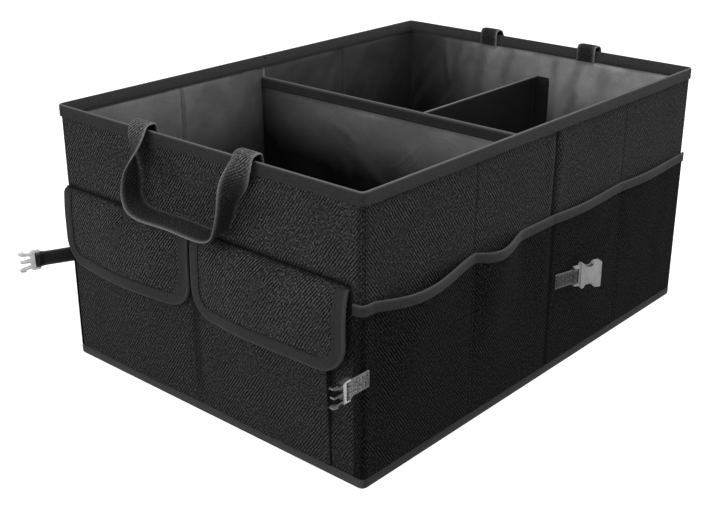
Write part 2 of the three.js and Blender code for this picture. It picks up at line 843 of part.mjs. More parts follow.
// The cross divider is sewn to the long walls at the fold: cloth on both faces of a board, with a taped top
function addCrossDivider() {
  const reach = halfWidth - wallDepth - fit;
  const top = crossDividerHeight - tapeThick - fit;
  const plate = (fromY, toY, low, high) =>
    block(v3(-reach, crossDividerY + fromY, low), v3(reach, crossDividerY + toY, high));
  const inside = dividerHalf - dividerCloth;
  add("cross_divider_front_cloth", plate(-dividerHalf, -inside, dividerFloor, top), liningCloth);
  add("cross_divider_rear_cloth", plate(inside, dividerHalf, dividerFloor, top), liningCloth);
  add("cross_divider_board", plate(-boardThick / 2, boardThick / 2, dividerFloor, top), greyboard);
  const fold = (gap) => {
    const edge = dividerHalf + gap;
    const low = crossDividerHeight - crossDividerTapeDrop;
    const high = top + gap;
    return [-reach, reach].map((x) => [
      v3(x, crossDividerY - edge, low),
      v3(x, crossDividerY - edge, high),
      v3(x, crossDividerY + edge, high),
      v3(x, crossDividerY + edge, low),
    ]);
  };
  add("cross_divider_tape", sheet(fold(fit + tapeThick), fold(fit)), bindingTape);
}

// The long divider lifts out: its end tabs are held by grip strips on the cross divider and the back wall
function addLongDivider() {
  const startY = crossDividerY + dividerHalf + fit;
  const endY = halfLength - wallDepth - fit;
  const stripX = longDividerX - dividerHalf;
  const stripEnd = longDividerX + dividerHalf + longDividerTab;
  const underTape = crossDividerHeight - crossDividerTapeDrop;
  const stripTop = Math.min(longDividerHeight, underTape) - longDividerTabDrop;
  const strip = (fromY) =>
    block(v3(stripX, fromY, dividerFloor), v3(stripEnd, fromY + gripThick, stripTop));
  add("cross_divider_grip_strip", strip(startY), gripTape);
  add("back_wall_grip_strip", strip(endY - gripThick), gripTape);

  const coverStart = startY + gripThick + fit;
  const coverEnd = endY - gripThick - fit;
  const fold = (half, top) => {
    const outline = [v2(half, dividerFloor), v2(half, top), v2(-half, top), v2(-half, dividerFloor)];
    return [coverStart, coverEnd].map((y) => outline.map((p) => v3(longDividerX + p.x, y, p.y)));
  };
  const coverOutside = fold(dividerHalf, longDividerHeight);
  const coverInside = fold(dividerHalf - dividerCloth, longDividerHeight - dividerCloth);
  add("long_divider_cover", sheet(coverOutside, coverInside), twillCloth);
  const board = block(
    v3(longDividerX - boardThick / 2, coverStart, dividerFloor),
    v3(longDividerX + boardThick / 2, coverEnd, longDividerHeight - dividerCloth - fit),
  );
  add("long_divider_board", board, greyboard);
  for (const [name, y, inwards] of [["front", coverStart, 1], ["rear", coverEnd, -1]]) {
    const x = longDividerX + dividerHalf + fit;
    const gripFace = [v2(stripEnd, y), v2(x, y), v2(x, y + inwards * longDividerTab)];
    const freeFace = [
      v2(stripEnd, y + inwards * dividerCloth),
      v2(x + dividerCloth, y + inwards * dividerCloth),
      v2(x + dividerCloth, y + inwards * longDividerTab),
    ];
    const upright = (points) => points.map((p) => [v3(p.x, p.y, dividerFloor), v3(p.x, p.y, stripTop)]);
    add(`long_divider_tab_${name}`, sheet(upright(gripFace), upright(freeFace)), gripTape);
  }
}

addWalls();
addBoards();
addBase();
addTapes();
addFrontPocket();
addFlap("flap_left", flapLeftX, flapSplitX - flapSplitGap / 2);
addFlap("flap_right", flapSplitX + flapSplitGap / 2, flapRightX);
addPatches("left", (flapLeftX + flapSplitX) / 2);
addPatches("right", (flapSplitX + pocketRightX) / 2);
addSidePocket("side_pocket_right", 1);
addSidePocket("side_pocket_left", -1);
addHandle("handle_front", false);
addHandle("handle_back", true);
addStraps();
addCrossDivider();
addLongDivider();

export default organizer;
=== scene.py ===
from collections import namedtuple
from math import cos, pi, radians, sin, tan

import bmesh
import bpy
import numpy as np
from mathutils import Matrix, Vector


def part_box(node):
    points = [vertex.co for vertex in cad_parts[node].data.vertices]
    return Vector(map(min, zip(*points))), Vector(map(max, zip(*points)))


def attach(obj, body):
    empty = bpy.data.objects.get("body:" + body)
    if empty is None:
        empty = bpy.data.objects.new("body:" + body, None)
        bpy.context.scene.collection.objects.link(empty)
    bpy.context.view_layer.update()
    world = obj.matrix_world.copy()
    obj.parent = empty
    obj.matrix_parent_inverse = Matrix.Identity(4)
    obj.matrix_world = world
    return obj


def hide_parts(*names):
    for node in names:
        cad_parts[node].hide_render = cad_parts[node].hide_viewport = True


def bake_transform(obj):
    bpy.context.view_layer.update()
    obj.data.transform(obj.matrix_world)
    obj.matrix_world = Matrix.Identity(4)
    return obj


bl_info = {
    "name": "Trunk Organizer",
    "version": (1, 0, 0),
    "blender": (4, 5, 0),
    "location": "3D View > Sidebar > Organizer",
    "description": "Dresses a collapsible trunk organizer: cloth, tapes, pockets, handles, straps and dividers",
    "category": "Object",
}

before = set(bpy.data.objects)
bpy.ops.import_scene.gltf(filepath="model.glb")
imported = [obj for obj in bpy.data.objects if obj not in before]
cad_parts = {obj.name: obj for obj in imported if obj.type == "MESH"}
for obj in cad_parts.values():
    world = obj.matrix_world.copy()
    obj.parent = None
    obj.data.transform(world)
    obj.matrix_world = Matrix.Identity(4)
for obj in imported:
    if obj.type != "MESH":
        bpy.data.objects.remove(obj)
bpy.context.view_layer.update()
MM = 0.001

BASE_LOW, BASE_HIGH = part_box("outer_base")
RIM_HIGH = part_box("rim_tape")[1]
FLAP_LEFT_LOW, FLAP_LEFT_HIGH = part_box("flap_left")
FLAP_RIGHT_LOW, FLAP_RIGHT_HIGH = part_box("flap_right")
POCKET_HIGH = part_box("front_pocket_panel")[1]


# Sizes and colours that a user would change


def length(name, default, description):
    return bpy.props.FloatProperty(
        name=name, description=description, default=default, min=0, precision=4, unit="LENGTH"
    )


def place(name, default, description):
    return bpy.props.FloatProperty(
        name=name, description=description, default=default, precision=4, unit="LENGTH"
    )


def colour(name, default, description):
    return bpy.props.FloatVectorProperty(
        name=name, description=description, default=default, size=3, min=0, max=1, subtype="COLOR"
    )


def amount(name, default, description, high=10.0):
    return bpy.props.FloatProperty(
        name=name, description=description, default=default, min=0, max=high
    )


class OrganizerSizes(bpy.types.PropertyGroup):
    width: length("Width", BASE_HIGH.x - BASE_LOW.x, "Outside of the cloth, across the organizer")
    length: length("Length", BASE_HIGH.y - BASE_LOW.y, "Outside of the cloth, along the organizer")
    height: length("Height", RIM_HIGH.z, "From the underside to the top of the rim tape")
    corner: length("Corner radius", 6.2 * MM, "Radius of the four upright corners")
    fold: place("Fold", 6 * MM, "Where the long walls are creased, along the organizer")
    rim_drop: length("Rim tape drop", 11.5 * MM, "How far the rim tape comes down the walls")
    base_rise: length("Base tape height", 8.8 * MM, "Top of the tape round the foot of the walls")
    flap_seam: length("Flap seam", FLAP_LEFT_HIGH.z, "Height of the seam that the flaps hang from")
    flap_foot: length("Flap foot", FLAP_LEFT_LOW.z - 1.2 * MM, "Height of the flaps' lower edge")
    flap_corner: length("Flap corner", 26 * MM, "Radius of the flaps' lower corners")
    flap_tape: length("Flap tape", 10.5 * MM, "Width of the tape round the flaps")
    pocket_mouth: length("Front pocket mouth", 160 * MM, "Height of the front pockets' upper edge")
    pocket_stand: length("Front pocket fullness", 7.5 * MM, "How far the front pockets stand out")
    side_mouth: length("Side pocket mouth", 167 * MM, "Height of the side pockets' upper edge")
    side_tape: length("Side pocket tape", 9.4 * MM, "Width of the tape on the side pockets")
    handle_width: length("Handle webbing", 23 * MM, "Width of the handle webbing")
    handle_thick: length("Handle thickness", 2.2 * MM, "Thickness of the handle webbing")
    strap_width: length("Strap webbing", 15 * MM, "Width of the strap webbing")
    cross_top: length("Cross divider top", 238 * MM, "Height of the cross divider")
    long_top: length("Long divider top", 222 * MM, "Height of the long divider")
    stitch: length("Stitch length", 3.4 * MM, "Distance from one stitch to the next")
    wrinkles: amount("Wrinkles", 1.0, "How strongly the lining is wrinkled", 3.0)


class OrganizerFinishes(bpy.types.PropertyGroup):
    twill: colour("Twill", (0.082, 0.082, 0.0825), "Raised threads of the outer cloth")
    twill_side: colour("Side pocket twill", (0.027, 0.027, 0.0272), "Raised threads of the side pockets")
    # Near black grooves between the threads: painted shade
    groove: colour("Twill grooves", (0.0012, 0.0012, 0.0012), "Between the threads of the outer cloth")
    spacing: length("Twill spacing", 2.5 * MM, "Distance between the diagonal ribs of the outer cloth")
    lining: colour("Lining", (0.24, 0.24, 0.2415), "Smooth cloth on the inside")
    tape: colour("Tape", (0.0245, 0.0245, 0.0247), "Binding tape")
    handle: colour("Handle", (0.17, 0.17, 0.1715), "Handle webbing where it is lightest")
    strap: colour("Strap", (0.34, 0.34, 0.3425), "Front right strap; the others are darker")
    divider: colour("Divider cover", (0.0085, 0.0085, 0.0087), "Cloth of the long divider")
    thread: colour("Thread", (0.005, 0.005, 0.0052), "Sewing thread")
    buckle: colour("Buckle", (0.27, 0.27, 0.272), "Female buckles")
    prongs: colour("Dark buckle", (0.008, 0.008, 0.0082), "Male buckles")
    grip: colour("Grip tape", (0.006, 0.006, 0.0065), "Hook and loop patches")
    board: colour("Greyboard", (0.26, 0.21, 0.15), "Boards inside the cloth")
    # Colour of the painted highlights along folds, tape edges and corners
    worn: colour("Worn edge", (0.19, 0.19, 0.192), "Where edges are rubbed lighter")


class OrganizerStage(bpy.types.PropertyGroup):
    overhead: amount("Overhead lamp", 9.0, "Power of the near lamp above, in watts", 500.0)
    front: amount("Front lamp", 26.0, "Power of the lamp in front, in watts", 500.0)
    back: amount("Back lamp", 12.0, "Power of the lamp behind, in watts", 500.0)
    side: amount("Side lamp", 5.0, "Power of the lamp at the side, in watts", 500.0)
    ambient: amount("Ambient", 0.38, "Strength of the light from all round", 3.0)
    lens: amount("Lens", 58.95, "Focal length in millimetres on a 36 mm frame", 300.0)


# Shader helpers


def feed(tree, socket, value):
    """Links a socket to another one, or writes a plain value on it."""
    if isinstance(value, bpy.types.NodeSocket):
        tree.links.new(value, socket)
    else:
        socket.default_value = value


def add_node(tree, kind, inputs=None, **settings):
    made = tree.nodes.new(kind)
    for key, value in settings.items():
        setattr(made, key, value)
    for key, value in (inputs or {}).items():
        feed(tree, made.inputs[key], value)
    return made


def maths(tree, operation, *values, clamp=False):
    made = add_node(tree, "ShaderNodeMath", operation=operation, use_clamp=clamp)
    for socket, value in zip(made.inputs, values):
        feed(tree, socket, value)
    return made.outputs[0]


def scaled(tree, vector, factor):
    made = add_node(tree, "ShaderNodeVectorMath", {0: vector, "Scale": factor}, operation="SCALE")
    return made.outputs["Vector"]


def ramp(tree, value, low, high, to_low=0.0, to_high=1.0):
    made = add_node(
        tree,
        "ShaderNodeMapRange",
        {"Value": value, "From Min": low, "From Max": high, "To Min": to_low, "To Max": to_high},
        interpolation_type="SMOOTHSTEP",
    )
    return made.outputs["Result"]


def mixed(tree, factor, first, second):
    made = add_node(tree, "ShaderNodeMix", data_type="RGBA")
    for key, value in (("Factor_Float", factor), ("A_Color", first), ("B_Color", second)):
        feed(tree, next(s for s in made.inputs if s.identifier == key), value)
    return next(s for s in made.outputs if s.identifier == "Result_Color")


def noise(tree, vector, scale, detail=3.0, rough=0.55):
    made = add_node(
        tree,
        "ShaderNodeTexNoise",
        {"Vector": vector, "Scale": scale, "Detail": detail, "Roughness": rough},
    )
    return made.outputs["Fac"]


def new_group(name, inputs, outputs):
    """An empty node group, with its sockets, and the nodes at both ends of it."""
    tree = bpy.data.node_groups.new(name, "ShaderNodeTree")
    for socket, kind, value in inputs:
        made = tree.interface.new_socket(socket, in_out="INPUT", socket_type=kind)
        if value is not None:
            made.default_value = value
    for socket, kind in outputs:
        tree.interface.new_socket(socket, in_out="OUTPUT", socket_type=kind)
    return tree, tree.nodes.new("NodeGroupInput"), tree.nodes.new("NodeGroupOutput")


FLOAT, COLOUR, VECTOR = "NodeSocketFloat", "NodeSocketColor", "NodeSocketVector"


def twill_weave_group():
    """Steep diagonal ribs of a twill, broken into floats and stronger in some patches, laid out in metres."""
    tree, start, end = new_group(
        "Twill Weave",
        [("Vector", VECTOR, None), ("Spacing", FLOAT, 0.0028), ("Lean", FLOAT, 1.4), ("Wander", FLOAT, 1.1)],
        [("Height", FLOAT), ("Thread", FLOAT)],
    )
    cloth = start.outputs
    parts = add_node(tree, "ShaderNodeSeparateXYZ", {0: cloth["Vector"]})
    uneven = maths(tree, "SUBTRACT", noise(tree, cloth["Vector"], 90.0), 0.5)
    drift = maths(tree, "MULTIPLY", uneven, cloth["Wander"])
    lean = maths(tree, "MULTIPLY", parts.outputs["X"], cloth["Lean"])
    slope = maths(tree, "SQRT", maths(tree, "MULTIPLY_ADD", cloth["Lean"], cloth["Lean"], 1.0))
    pitch = maths(tree, "MULTIPLY", slope, cloth["Spacing"])
    across = maths(tree, "DIVIDE", maths(tree, "SUBTRACT", parts.outputs["Y"], lean), pitch)
    across = maths(tree, "ADD", across, drift)
    along = maths(tree, "DIVIDE", maths(tree, "ADD", parts.outputs["Y"], lean), pitch)
    along = maths(tree, "ADD", maths(tree, "MULTIPLY", along, 0.8), maths(tree, "MULTIPLY", drift, 3.0))
    rib, pick = (
        maths(tree, "MULTIPLY_ADD", maths(tree, "SINE", maths(tree, "MULTIPLY", t, 2 * pi)), 0.5, 0.5)
        for t in (across, along)
    )
    floats = maths(tree, "MULTIPLY_ADD", pick, 0.6, 0.5)
    raised = maths(tree, "MULTIPLY", maths(tree, "POWER", rib, 1.6), floats)
    strong = ramp(tree, noise(tree, cloth["Vector"], 38.0, 3.0), 0.38, 0.6, 0.05, 1.25)
    grain = maths(tree, "MULTIPLY", maths(tree, "SUBTRACT", noise(tree, cloth["Vector"], 560.0, 2.0), 0.5), 2.4)
    shown = maths(tree, "MULTIPLY_ADD", maths(tree, "SUBTRACT", raised, 0.32), strong, 0.32)
    tree.links.new(shown, end.inputs["Height"])
    tree.links.new(maths(tree, "ADD", shown, grain, clamp=True), end.inputs["Thread"])
    return tree


def ribbed_tape_group():
    """Fine ribs across a woven tape, with warp lines along it, on a tape laid out in metres."""
    tree, start, end = new_group(
        "Ribbed Tape",
        [("Vector", VECTOR, None), ("Rib", FLOAT, 0.0009), ("Warp", FLOAT, 0.0007)],
        [("Height", FLOAT), ("Thread", FLOAT)],
    )
    cloth = start.outputs
    parts = add_node(tree, "ShaderNodeSeparateXYZ", {0: cloth["Vector"]})
    turns = (maths(tree, "MULTIPLY", parts.outputs[axis], 2 * pi) for axis in ("X", "Y"))
    rib, warp = (maths(tree, "SINE", maths(tree, "DIVIDE", t, cloth[n])) for t, n in zip(turns, ("Rib", "Warp")))
    woven = maths(tree, "MULTIPLY_ADD", maths(tree, "MULTIPLY", rib, warp), 0.3, 0.5)
    raised = maths(tree, "ADD", woven, maths(tree, "MULTIPLY", rib, 0.2))
    tree.links.new(raised, end.inputs["Height"])
    tree.links.new(maths(tree, "MAXIMUM", raised, 0.0), end.inputs["Thread"])
    return tree


def cloth_tone_group():
    """Colour of a cloth: threads, grooves darkened as painted shade, soft patches, lint, painted shade and painted
    highlights.
    """
    tree, start, end = new_group(
        "Cloth Tone",
        [
            ("Vector", VECTOR, None),
            ("Thread Colour", COLOUR, None),
            ("Groove Colour", COLOUR, None),
            ("Worn Colour", COLOUR, None),
            ("Thread", FLOAT, 1.0),
            ("Crease", FLOAT, 0.0),
            ("Worn", FLOAT, 0.0),
            ("Patches", FLOAT, 0.25),
            ("Lint", FLOAT, 0.1),
        ],
        [("Colour", COLOUR), ("Roughness Shift", FLOAT)],
    )
    cloth = start.outputs
    broad = ramp(tree, noise(tree, cloth["Vector"], 22.0, 4.0), 0.3, 0.7, -1.0, 1.0)
    speck = ramp(tree, noise(tree, cloth["Vector"], 330.0, 2.0), 0.35, 0.65)
    shown = maths(tree, "MULTIPLY", cloth["Thread"], maths(tree, "MULTIPLY_ADD", speck, 0.7, 0.6), clamp=True)
    base = mixed(tree, shown, cloth["Groove Colour"], cloth["Thread Colour"])
    gain = maths(tree, "MULTIPLY_ADD", broad, maths(tree, "MULTIPLY", cloth["Patches"], 0.5), 1.0)
    # Painted shade: the crease mask darkens folds, seams, corners, deep lining and handle shadows
    lost = maths(tree, "MULTIPLY", cloth["Crease"], 0.85, clamp=True)
    shaded = scaled(tree, base, maths(tree, "MULTIPLY", gain, maths(tree, "SUBTRACT", 1.0, lost)))
    lint = ramp(tree, noise(tree, cloth["Vector"], 900.0, 1.0), 0.70, 0.78)
    # Painted highlight from the highlight mask, and lighter lint specks
    lit_and_scuffed = maths(tree, "MAXIMUM", cloth["Worn"], maths(tree, "MULTIPLY", lint, cloth["Lint"]), clamp=True)
    tone = mixed(tree, lit_and_scuffed, shaded, cloth["Worn Colour"])
    tree.links.new(tone, end.inputs["Colour"])
    tree.links.new(maths(tree, "MULTIPLY", broad, 0.05), end.inputs["Roughness Shift"])
    return tree


def lining_crinkle_group():
    """Fine weave and thin broken crinkle lines of a light satin lining."""
    tree, start, end = new_group(
        "Lining Crinkle",
        [("Vector", VECTOR, None), ("Crinkles", FLOAT, 0.6)],
        [("Height", FLOAT), ("Crinkle", FLOAT)],
    )
    cloth = start.outputs
    bend = add_node(tree, "ShaderNodeTexNoise", {"Vector": cloth["Vector"], "Scale": 24.0, "Detail": 3.0})
    pushed = add_node(
        tree, "ShaderNodeVectorMath", {0: bend.outputs["Color"], 1: (0.05, 0.05, 0.0)}, operation="MULTIPLY"
    )
    moved = add_node(
        tree, "ShaderNodeVectorMath", {0: cloth["Vector"], 1: pushed.outputs["Vector"]}, operation="ADD"
    )
    where_at = {"Vector": moved.outputs["Vector"], "Scale": 15.0}
    cells = add_node(tree, "ShaderNodeTexVoronoi", where_at, feature="DISTANCE_TO_EDGE")
    line = ramp(tree, cells.outputs["Distance"], 0.0, 0.022, 1.0, 0.0)
    where = ramp(tree, noise(tree, cloth["Vector"], 9.0, 2.0), 0.50, 0.62)
    crinkle = maths(tree, "MULTIPLY", maths(tree, "MULTIPLY", line, where), cloth["Crinkles"])
    soft = noise(tree, cloth["Vector"], 55.0, 3.0)
    parts = add_node(tree, "ShaderNodeSeparateXYZ", {0: cloth["Vector"]})
    thread = 2 * pi / (0.6 * MM)
    warp, weft = (maths(tree, "SINE", maths(tree, "MULTIPLY", parts.outputs[axis], thread)) for axis in "XY")
    woven = maths(tree, "MULTIPLY", maths(tree, "MULTIPLY", warp, weft), 0.03)
    raised = maths(tree, "MULTIPLY_ADD", crinkle, 0.5, maths(tree, "MULTIPLY_ADD", soft, 0.9, woven))
    tree.links.new(raised, end.inputs["Height"])
    tree.links.new(crinkle, end.inputs["Crinkle"])
    return tree


def moulded_nylon_group():
    """Fine spark-eroded grain and faint flow marks of a moulded part, with edges lightened as painted highlight and
    scuffing.
    """
    tree, start, end = new_group(
        "Moulded Nylon",
        [("Vector", VECTOR, None), ("Colour", COLOUR, None), ("Edge Wear", FLOAT, 0.4), ("Gloss", FLOAT, 0.36)],
        [("Colour", COLOUR), ("Height", FLOAT), ("Roughness", FLOAT)],
    )
    part = start.outputs
    flow = ramp(tree, noise(tree, part["Vector"], 140.0, 3.0), 0.3, 0.7, 0.86, 1.08)
    tinted = scaled(tree, part["Colour"], flow)
    edge = add_node(tree, "ShaderNodeNewGeometry").outputs["Pointiness"]
    # Pointy edges are lightened: painted highlight, with some scuffing
    lit_and_scuffed = maths(tree, "MULTIPLY", ramp(tree, edge, 0.54, 0.60), part["Edge Wear"])
    tree.links.new(mixed(tree, lit_and_scuffed, tinted, (0.62, 0.62, 0.62, 1)), end.inputs["Colour"])
    tree.links.new(noise(tree, part["Vector"], 2600.0, 2.0), end.inputs["Height"])
    dull = ramp(tree, noise(tree, part["Vector"], 420.0, 2.0), 0.3, 0.7, 0.78, 1.22)
    tree.links.new(maths(tree, "MULTIPLY", dull, part["Gloss"]), end.inputs["Roughness"])
    return tree


def pile_group():
    """Short hooks and loops of a grip tape: small tufts in rows, with gaps between them."""
    tree, start, end = new_group(
        "Grip Pile",
        [("Vector", VECTOR, None), ("Tufts", FLOAT, 620.0)],
        [("Height", FLOAT), ("Tuft", FLOAT)],
    )
    cells = add_node(
        tree,
        "ShaderNodeTexVoronoi",
        {"Vector": start.outputs["Vector"], "Scale": start.outputs["Tufts"], "Randomness": 0.45},
        feature="F1",
    )
    tuft = ramp(tree, cells.outputs["Distance"], 0.1, 0.55, 1.0, 0.0)
    tree.links.new(tuft, end.inputs["Height"])
    tree.links.new(tuft, end.inputs["Tuft"])
    return tree


def board_fibre_group():
    """Pressed fibres and flecks of greyboard."""
    tree, start, end = new_group(
        "Board Fibre",
        [("Vector", VECTOR, None), ("Colour", COLOUR, None)],
        [("Colour", COLOUR), ("Height", FLOAT)],
    )
    stretch = add_node(
        tree, "ShaderNodeVectorMath", {0: start.outputs["Vector"], 1: (1.0, 0.25, 1.0)}, operation="MULTIPLY"
    )
    fibre = noise(tree, stretch.outputs["Vector"], 420.0, 5.0, 0.7)
    fleck = ramp(tree, noise(tree, start.outputs["Vector"], 700.0, 1.0), 0.66, 0.74)
    tone = scaled(tree, start.outputs["Colour"], ramp(tree, fibre, 0.3, 0.7, 0.75, 1.15))
    tree.links.new(mixed(tree, fleck, tone, (0.12, 0.1, 0.07, 1)), end.inputs["Colour"])
    tree.links.new(fibre, end.inputs["Height"])
    return tree


GROUPS = {
    "Twill Weave": twill_weave_group,
    "Ribbed Tape": ribbed_tape_group,
    "Cloth Tone": cloth_tone_group,
    "Lining Crinkle": lining_crinkle_group,
    "Moulded Nylon": moulded_nylon_group,
    "Grip Pile": pile_group,
    "Board Fibre": board_fibre_group,
}


def group_node(tree, name, inputs):
    made = tree.nodes.new("ShaderNodeGroup")
    made.node_tree = bpy.data.node_groups.get(name) or GROUPS[name]()
    for key, value in inputs.items():
        feed(tree, made.inputs[key], value)
    return made.outputs


def rgba(value, share=1.0):
    return (*(share * c for c in value), 1.0)


def blank_material(name, view_colour, roughness, specular, sheen=0.0, sheen_roughness=0.4, sheen_tint=0.5):
    """A material with one Principled BSDF, and the constants that sit on the shader's own sockets."""
    made = bpy.data.materials.new(name)
    made.use_nodes = True
    made.diffuse_color = rgba(view_colour)
    shader = made.node_tree.nodes["Principled BSDF"]
    for key, value in (
        ("Roughness", roughness),
        ("Specular IOR Level", specular),
        ("Sheen Weight", sheen),
        ("Sheen Roughness", sheen_roughness),
        ("Sheen Tint", rgba([sheen_tint] * 3)),
    ):
        shader.inputs[key].default_value = value
    return made, made.node_tree, shader


def laid_out(tree):
    """Where a point lies on the flat cloth, in metres, from the piece's own layout."""
    return add_node(tree, "ShaderNodeUVMap", uv_map="Cloth").outputs["UV"]


def painted(tree, name):
    return add_node(tree, "ShaderNodeAttribute", attribute_name=name, attribute_type="GEOMETRY").outputs["Fac"]


def bumped(tree, shader, height, depth, strength=1.0):
    bump = add_node(tree, "ShaderNodeBump", {"Height": height, "Strength": strength, "Distance": depth})
    tree.links.new(bump.outputs["Normal"], shader.inputs["Normal"])


def toned(tree, shader, roughness, **inputs):
    """Feeds the tone group's colour and roughness to the shader."""
    named = {key.replace("_", " "): value for key, value in inputs.items()}
    tone = group_node(tree, "Cloth Tone", {"Vector": laid_out(tree), "Worn": painted(tree, "worn"), **named})
    tree.links.new(tone["Colour"], shader.inputs["Base Color"])
    tree.links.new(maths(tree, "ADD", tone["Roughness Shift"], roughness), shader.inputs["Roughness"])


# A cloth's colour is a finish and a share of it. Its grooves are a share of its threads, or the twill's own.
Cloth = namedtuple(
    "Cloth", "slot finish share grooves weave depth roughness specular sheen tint patches lint settings"
)
TWILL, RIBS = "Twill Weave", "Ribbed Tape"
CLOTHS = {
    "twill_front": Cloth(
        "twill", "twill", 1.0, None, TWILL, 0.45, 0.9, 0.12, 0.03, 0.3, 0.35, 0.12, {"Lean": 1.4}
    ),
    # The long walls and the base take the front twill at 0.68 of its colour: painted shade
    "twill_side": Cloth(
        "twill", "twill", 0.68, None, TWILL, 0.45, 0.9, 0.12, 0.03, 0.3, 0.35, 0.12, {"Lean": -1.4}
    ),
    "twill_pocket": Cloth(
        "twill", "twill_side", 1.0, None, TWILL, 0.4, 0.95, 0.04, 0.0, 0.3, 0.35, 0.1, {"Lean": -1.4}
    ),
    "binding_tape": Cloth(
        "tape", "tape", 1.0, 0.4, RIBS, 0.1, 0.8, 0.2, 0.1, 0.4, 0.3, 0.06, {"Rib": 0.9 * MM, "Warp": 0.7 * MM}
    ),
    "handle_twill": Cloth(
        "handle_webbing", "handle", 1.0, 0.08, TWILL, 0.3, 0.8, 0.15, 0.05, 0.3, 0.3, 0.15,
        {"Spacing": 2.4 * MM, "Lean": 1.0, "Wander": 0.4},
    ),
    "divider_cloth": Cloth(
        "twill", "divider", 1.0, 0.4, RIBS, 0.08, 0.6, 0.15, 0.05, 0.3, 0.3, 0.04,
        {"Rib": 0.8 * MM, "Warp": 0.8 * MM},
    ),
    "sewing_thread": Cloth(
        "tape", "thread", 1.0, 0.5, RIBS, 0.04, 0.5, 0.3, 0.2, 0.5, 0.2, 0.0,
        {"Rib": 0.5 * MM, "Warp": 0.5 * MM},
    ),
    # The floor lining is the lining at 0.06 of its colour: painted shade, matching the walls' painted shade lower
    # down
    "floor_lining": Cloth(
        "lining", "lining", 0.06, 0.5, RIBS, 0.1, 0.8, 0.2, 0.0, 0.3, 0.3, 0.05,
        {"Rib": 0.9 * MM, "Warp": 0.9 * MM},
    ),
}
# Three shares of one strap colour: front right lightest, middle straps grey, and the front left strap near black as
# painted shade
for strap_name, strap_share in (("light_webbing", 1.0), ("grey_webbing", 0.35), ("black_webbing", 0.03)):
    CLOTHS[strap_name] = Cloth(
        "strap_webbing", "strap", strap_share, 0.1, TWILL, 0.2, 0.7, 0.2, 0.1 * strap_share, 0.6, 0.15,
        0.1 * strap_share, {"Spacing": 2.0 * MM, "Lean": -1.0, "Wander": 0.05},
    )


def cloth_material(name):
    """Woven cloth or tape: a weave group gives its threads, and the tone group its colour."""
    finishes, kind = bpy.context.scene.organizer_finishes, CLOTHS[name]
    thread = [kind.share * c for c in getattr(finishes, kind.finish)]
    gloss = (kind.roughness, kind.specular, kind.sheen, 0.35, kind.tint)
    made, tree, shader = blank_material(name, thread, *gloss)
    settings = {"Spacing": finishes.spacing, **kind.settings} if kind.weave == TWILL else kind.settings
    woven = group_node(tree, kind.weave, {"Vector": laid_out(tree), **settings})
    toned(
        tree,
        shader,
        kind.roughness,
        Thread_Colour=rgba(thread),
        Groove_Colour=rgba(finishes.groove) if kind.grooves is None else rgba(thread, kind.grooves),
        Worn_Colour=rgba(finishes.worn),
        Thread=woven["Thread"],
        Crease=painted(tree, "crease"),
        Patches=kind.patches,
        Lint=kind.lint,
    )
    bumped(tree, shader, woven["Height"], kind.depth * MM)
    return made


def satin_lining(name):
    colour_written = bpy.context.scene.organizer_finishes.lining
    made, tree, shader = blank_material(name, colour_written, 0.5, 0.25, 0.04, 0.4, 0.6)
    crinkle = group_node(tree, "Lining Crinkle", {"Vector": laid_out(tree), "Crinkles": 0.6})
    # Painted shade along the crinkle lines
    lines = maths(tree, "MULTIPLY", crinkle["Crinkle"], 0.8)
    toned(
        tree,
        shader,
        0.5,
        Thread_Colour=rgba(colour_written),
        Groove_Colour=rgba(colour_written, 0.82),
        # Colour of the painted highlight down the lining's corners
        Worn_Colour=(0.24, 0.24, 0.243, 1.0),
        Thread=1.0,
        Crease=maths(tree, "MAXIMUM", painted(tree, "crease"), lines),
        Patches=0.3,
        Lint=0.0,
    )
    bumped(tree, shader, crinkle["Height"], 0.9 * MM, 0.6)
    return made


# Moulded nylon: the finish that its colour comes from, the share of it, edge highlight and scuffing, and gloss
NYLONS = {
    "buckle_nylon": ("buckle", 1.0, 0.45, 0.36),
    "dark_nylon": ("prongs", 1.0, 0.9, 0.18),
    # A lighter copy of the female nylon: painted reflection on the left male buckle
    "pale_nylon": ("buckle", 2.2, 0.6, 0.2),
}


def nylon(name):
    finish, share, edge_highlight_and_scuff, gloss = NYLONS[name]
    tint = [share * c for c in getattr(bpy.context.scene.organizer_finishes, finish)]
    made, tree, shader = blank_material(name, tint, gloss, 0.5)
    where = add_node(tree, "ShaderNodeTexCoord").outputs["Object"]
    skin = group_node(
        tree, "Moulded Nylon", {"Vector": where, "Colour": rgba(tint), "Edge Wear": edge_highlight_and_scuff, "Gloss": gloss}
    )
    tree.links.new(skin["Colour"], shader.inputs["Base Color"])
    tree.links.new(skin["Roughness"], shader.inputs["Roughness"])
    bumped(tree, shader, skin["Height"], 0.03 * MM, 0.4)
    return made


def grip_pile(name):
    colour_written = bpy.context.scene.organizer_finishes.grip
    made, tree, shader = blank_material(name, colour_written, 0.9, 0.15, 0.3, 0.6, 0.2)
    pile = group_node(tree, "Grip Pile", {"Vector": laid_out(tree)})
    # The near black gaps between the tufts are painted shade
    tone = mixed(tree, pile["Tuft"], (0.002, 0.002, 0.002, 1.0), rgba(colour_written, 2.2))
    tree.links.new(tone, shader.inputs["Base Color"])
    bumped(tree, shader, pile["Height"], 0.5 * MM)
    return made


def greyboard(name):
    colour_written = bpy.context.scene.organizer_finishes.board
    made, tree, shader = blank_material(name, colour_written, 0.9, 0.2)
    where = add_node(tree, "ShaderNodeTexCoord").outputs["Object"]
    fibre = group_node(tree, "Board Fibre", {"Vector": where, "Colour": rgba(colour_written)})
    tree.links.new(fibre["Colour"], shader.inputs["Base Color"])
    bumped(tree, shader, fibre["Height"], 0.15 * MM, 0.6)
    return made


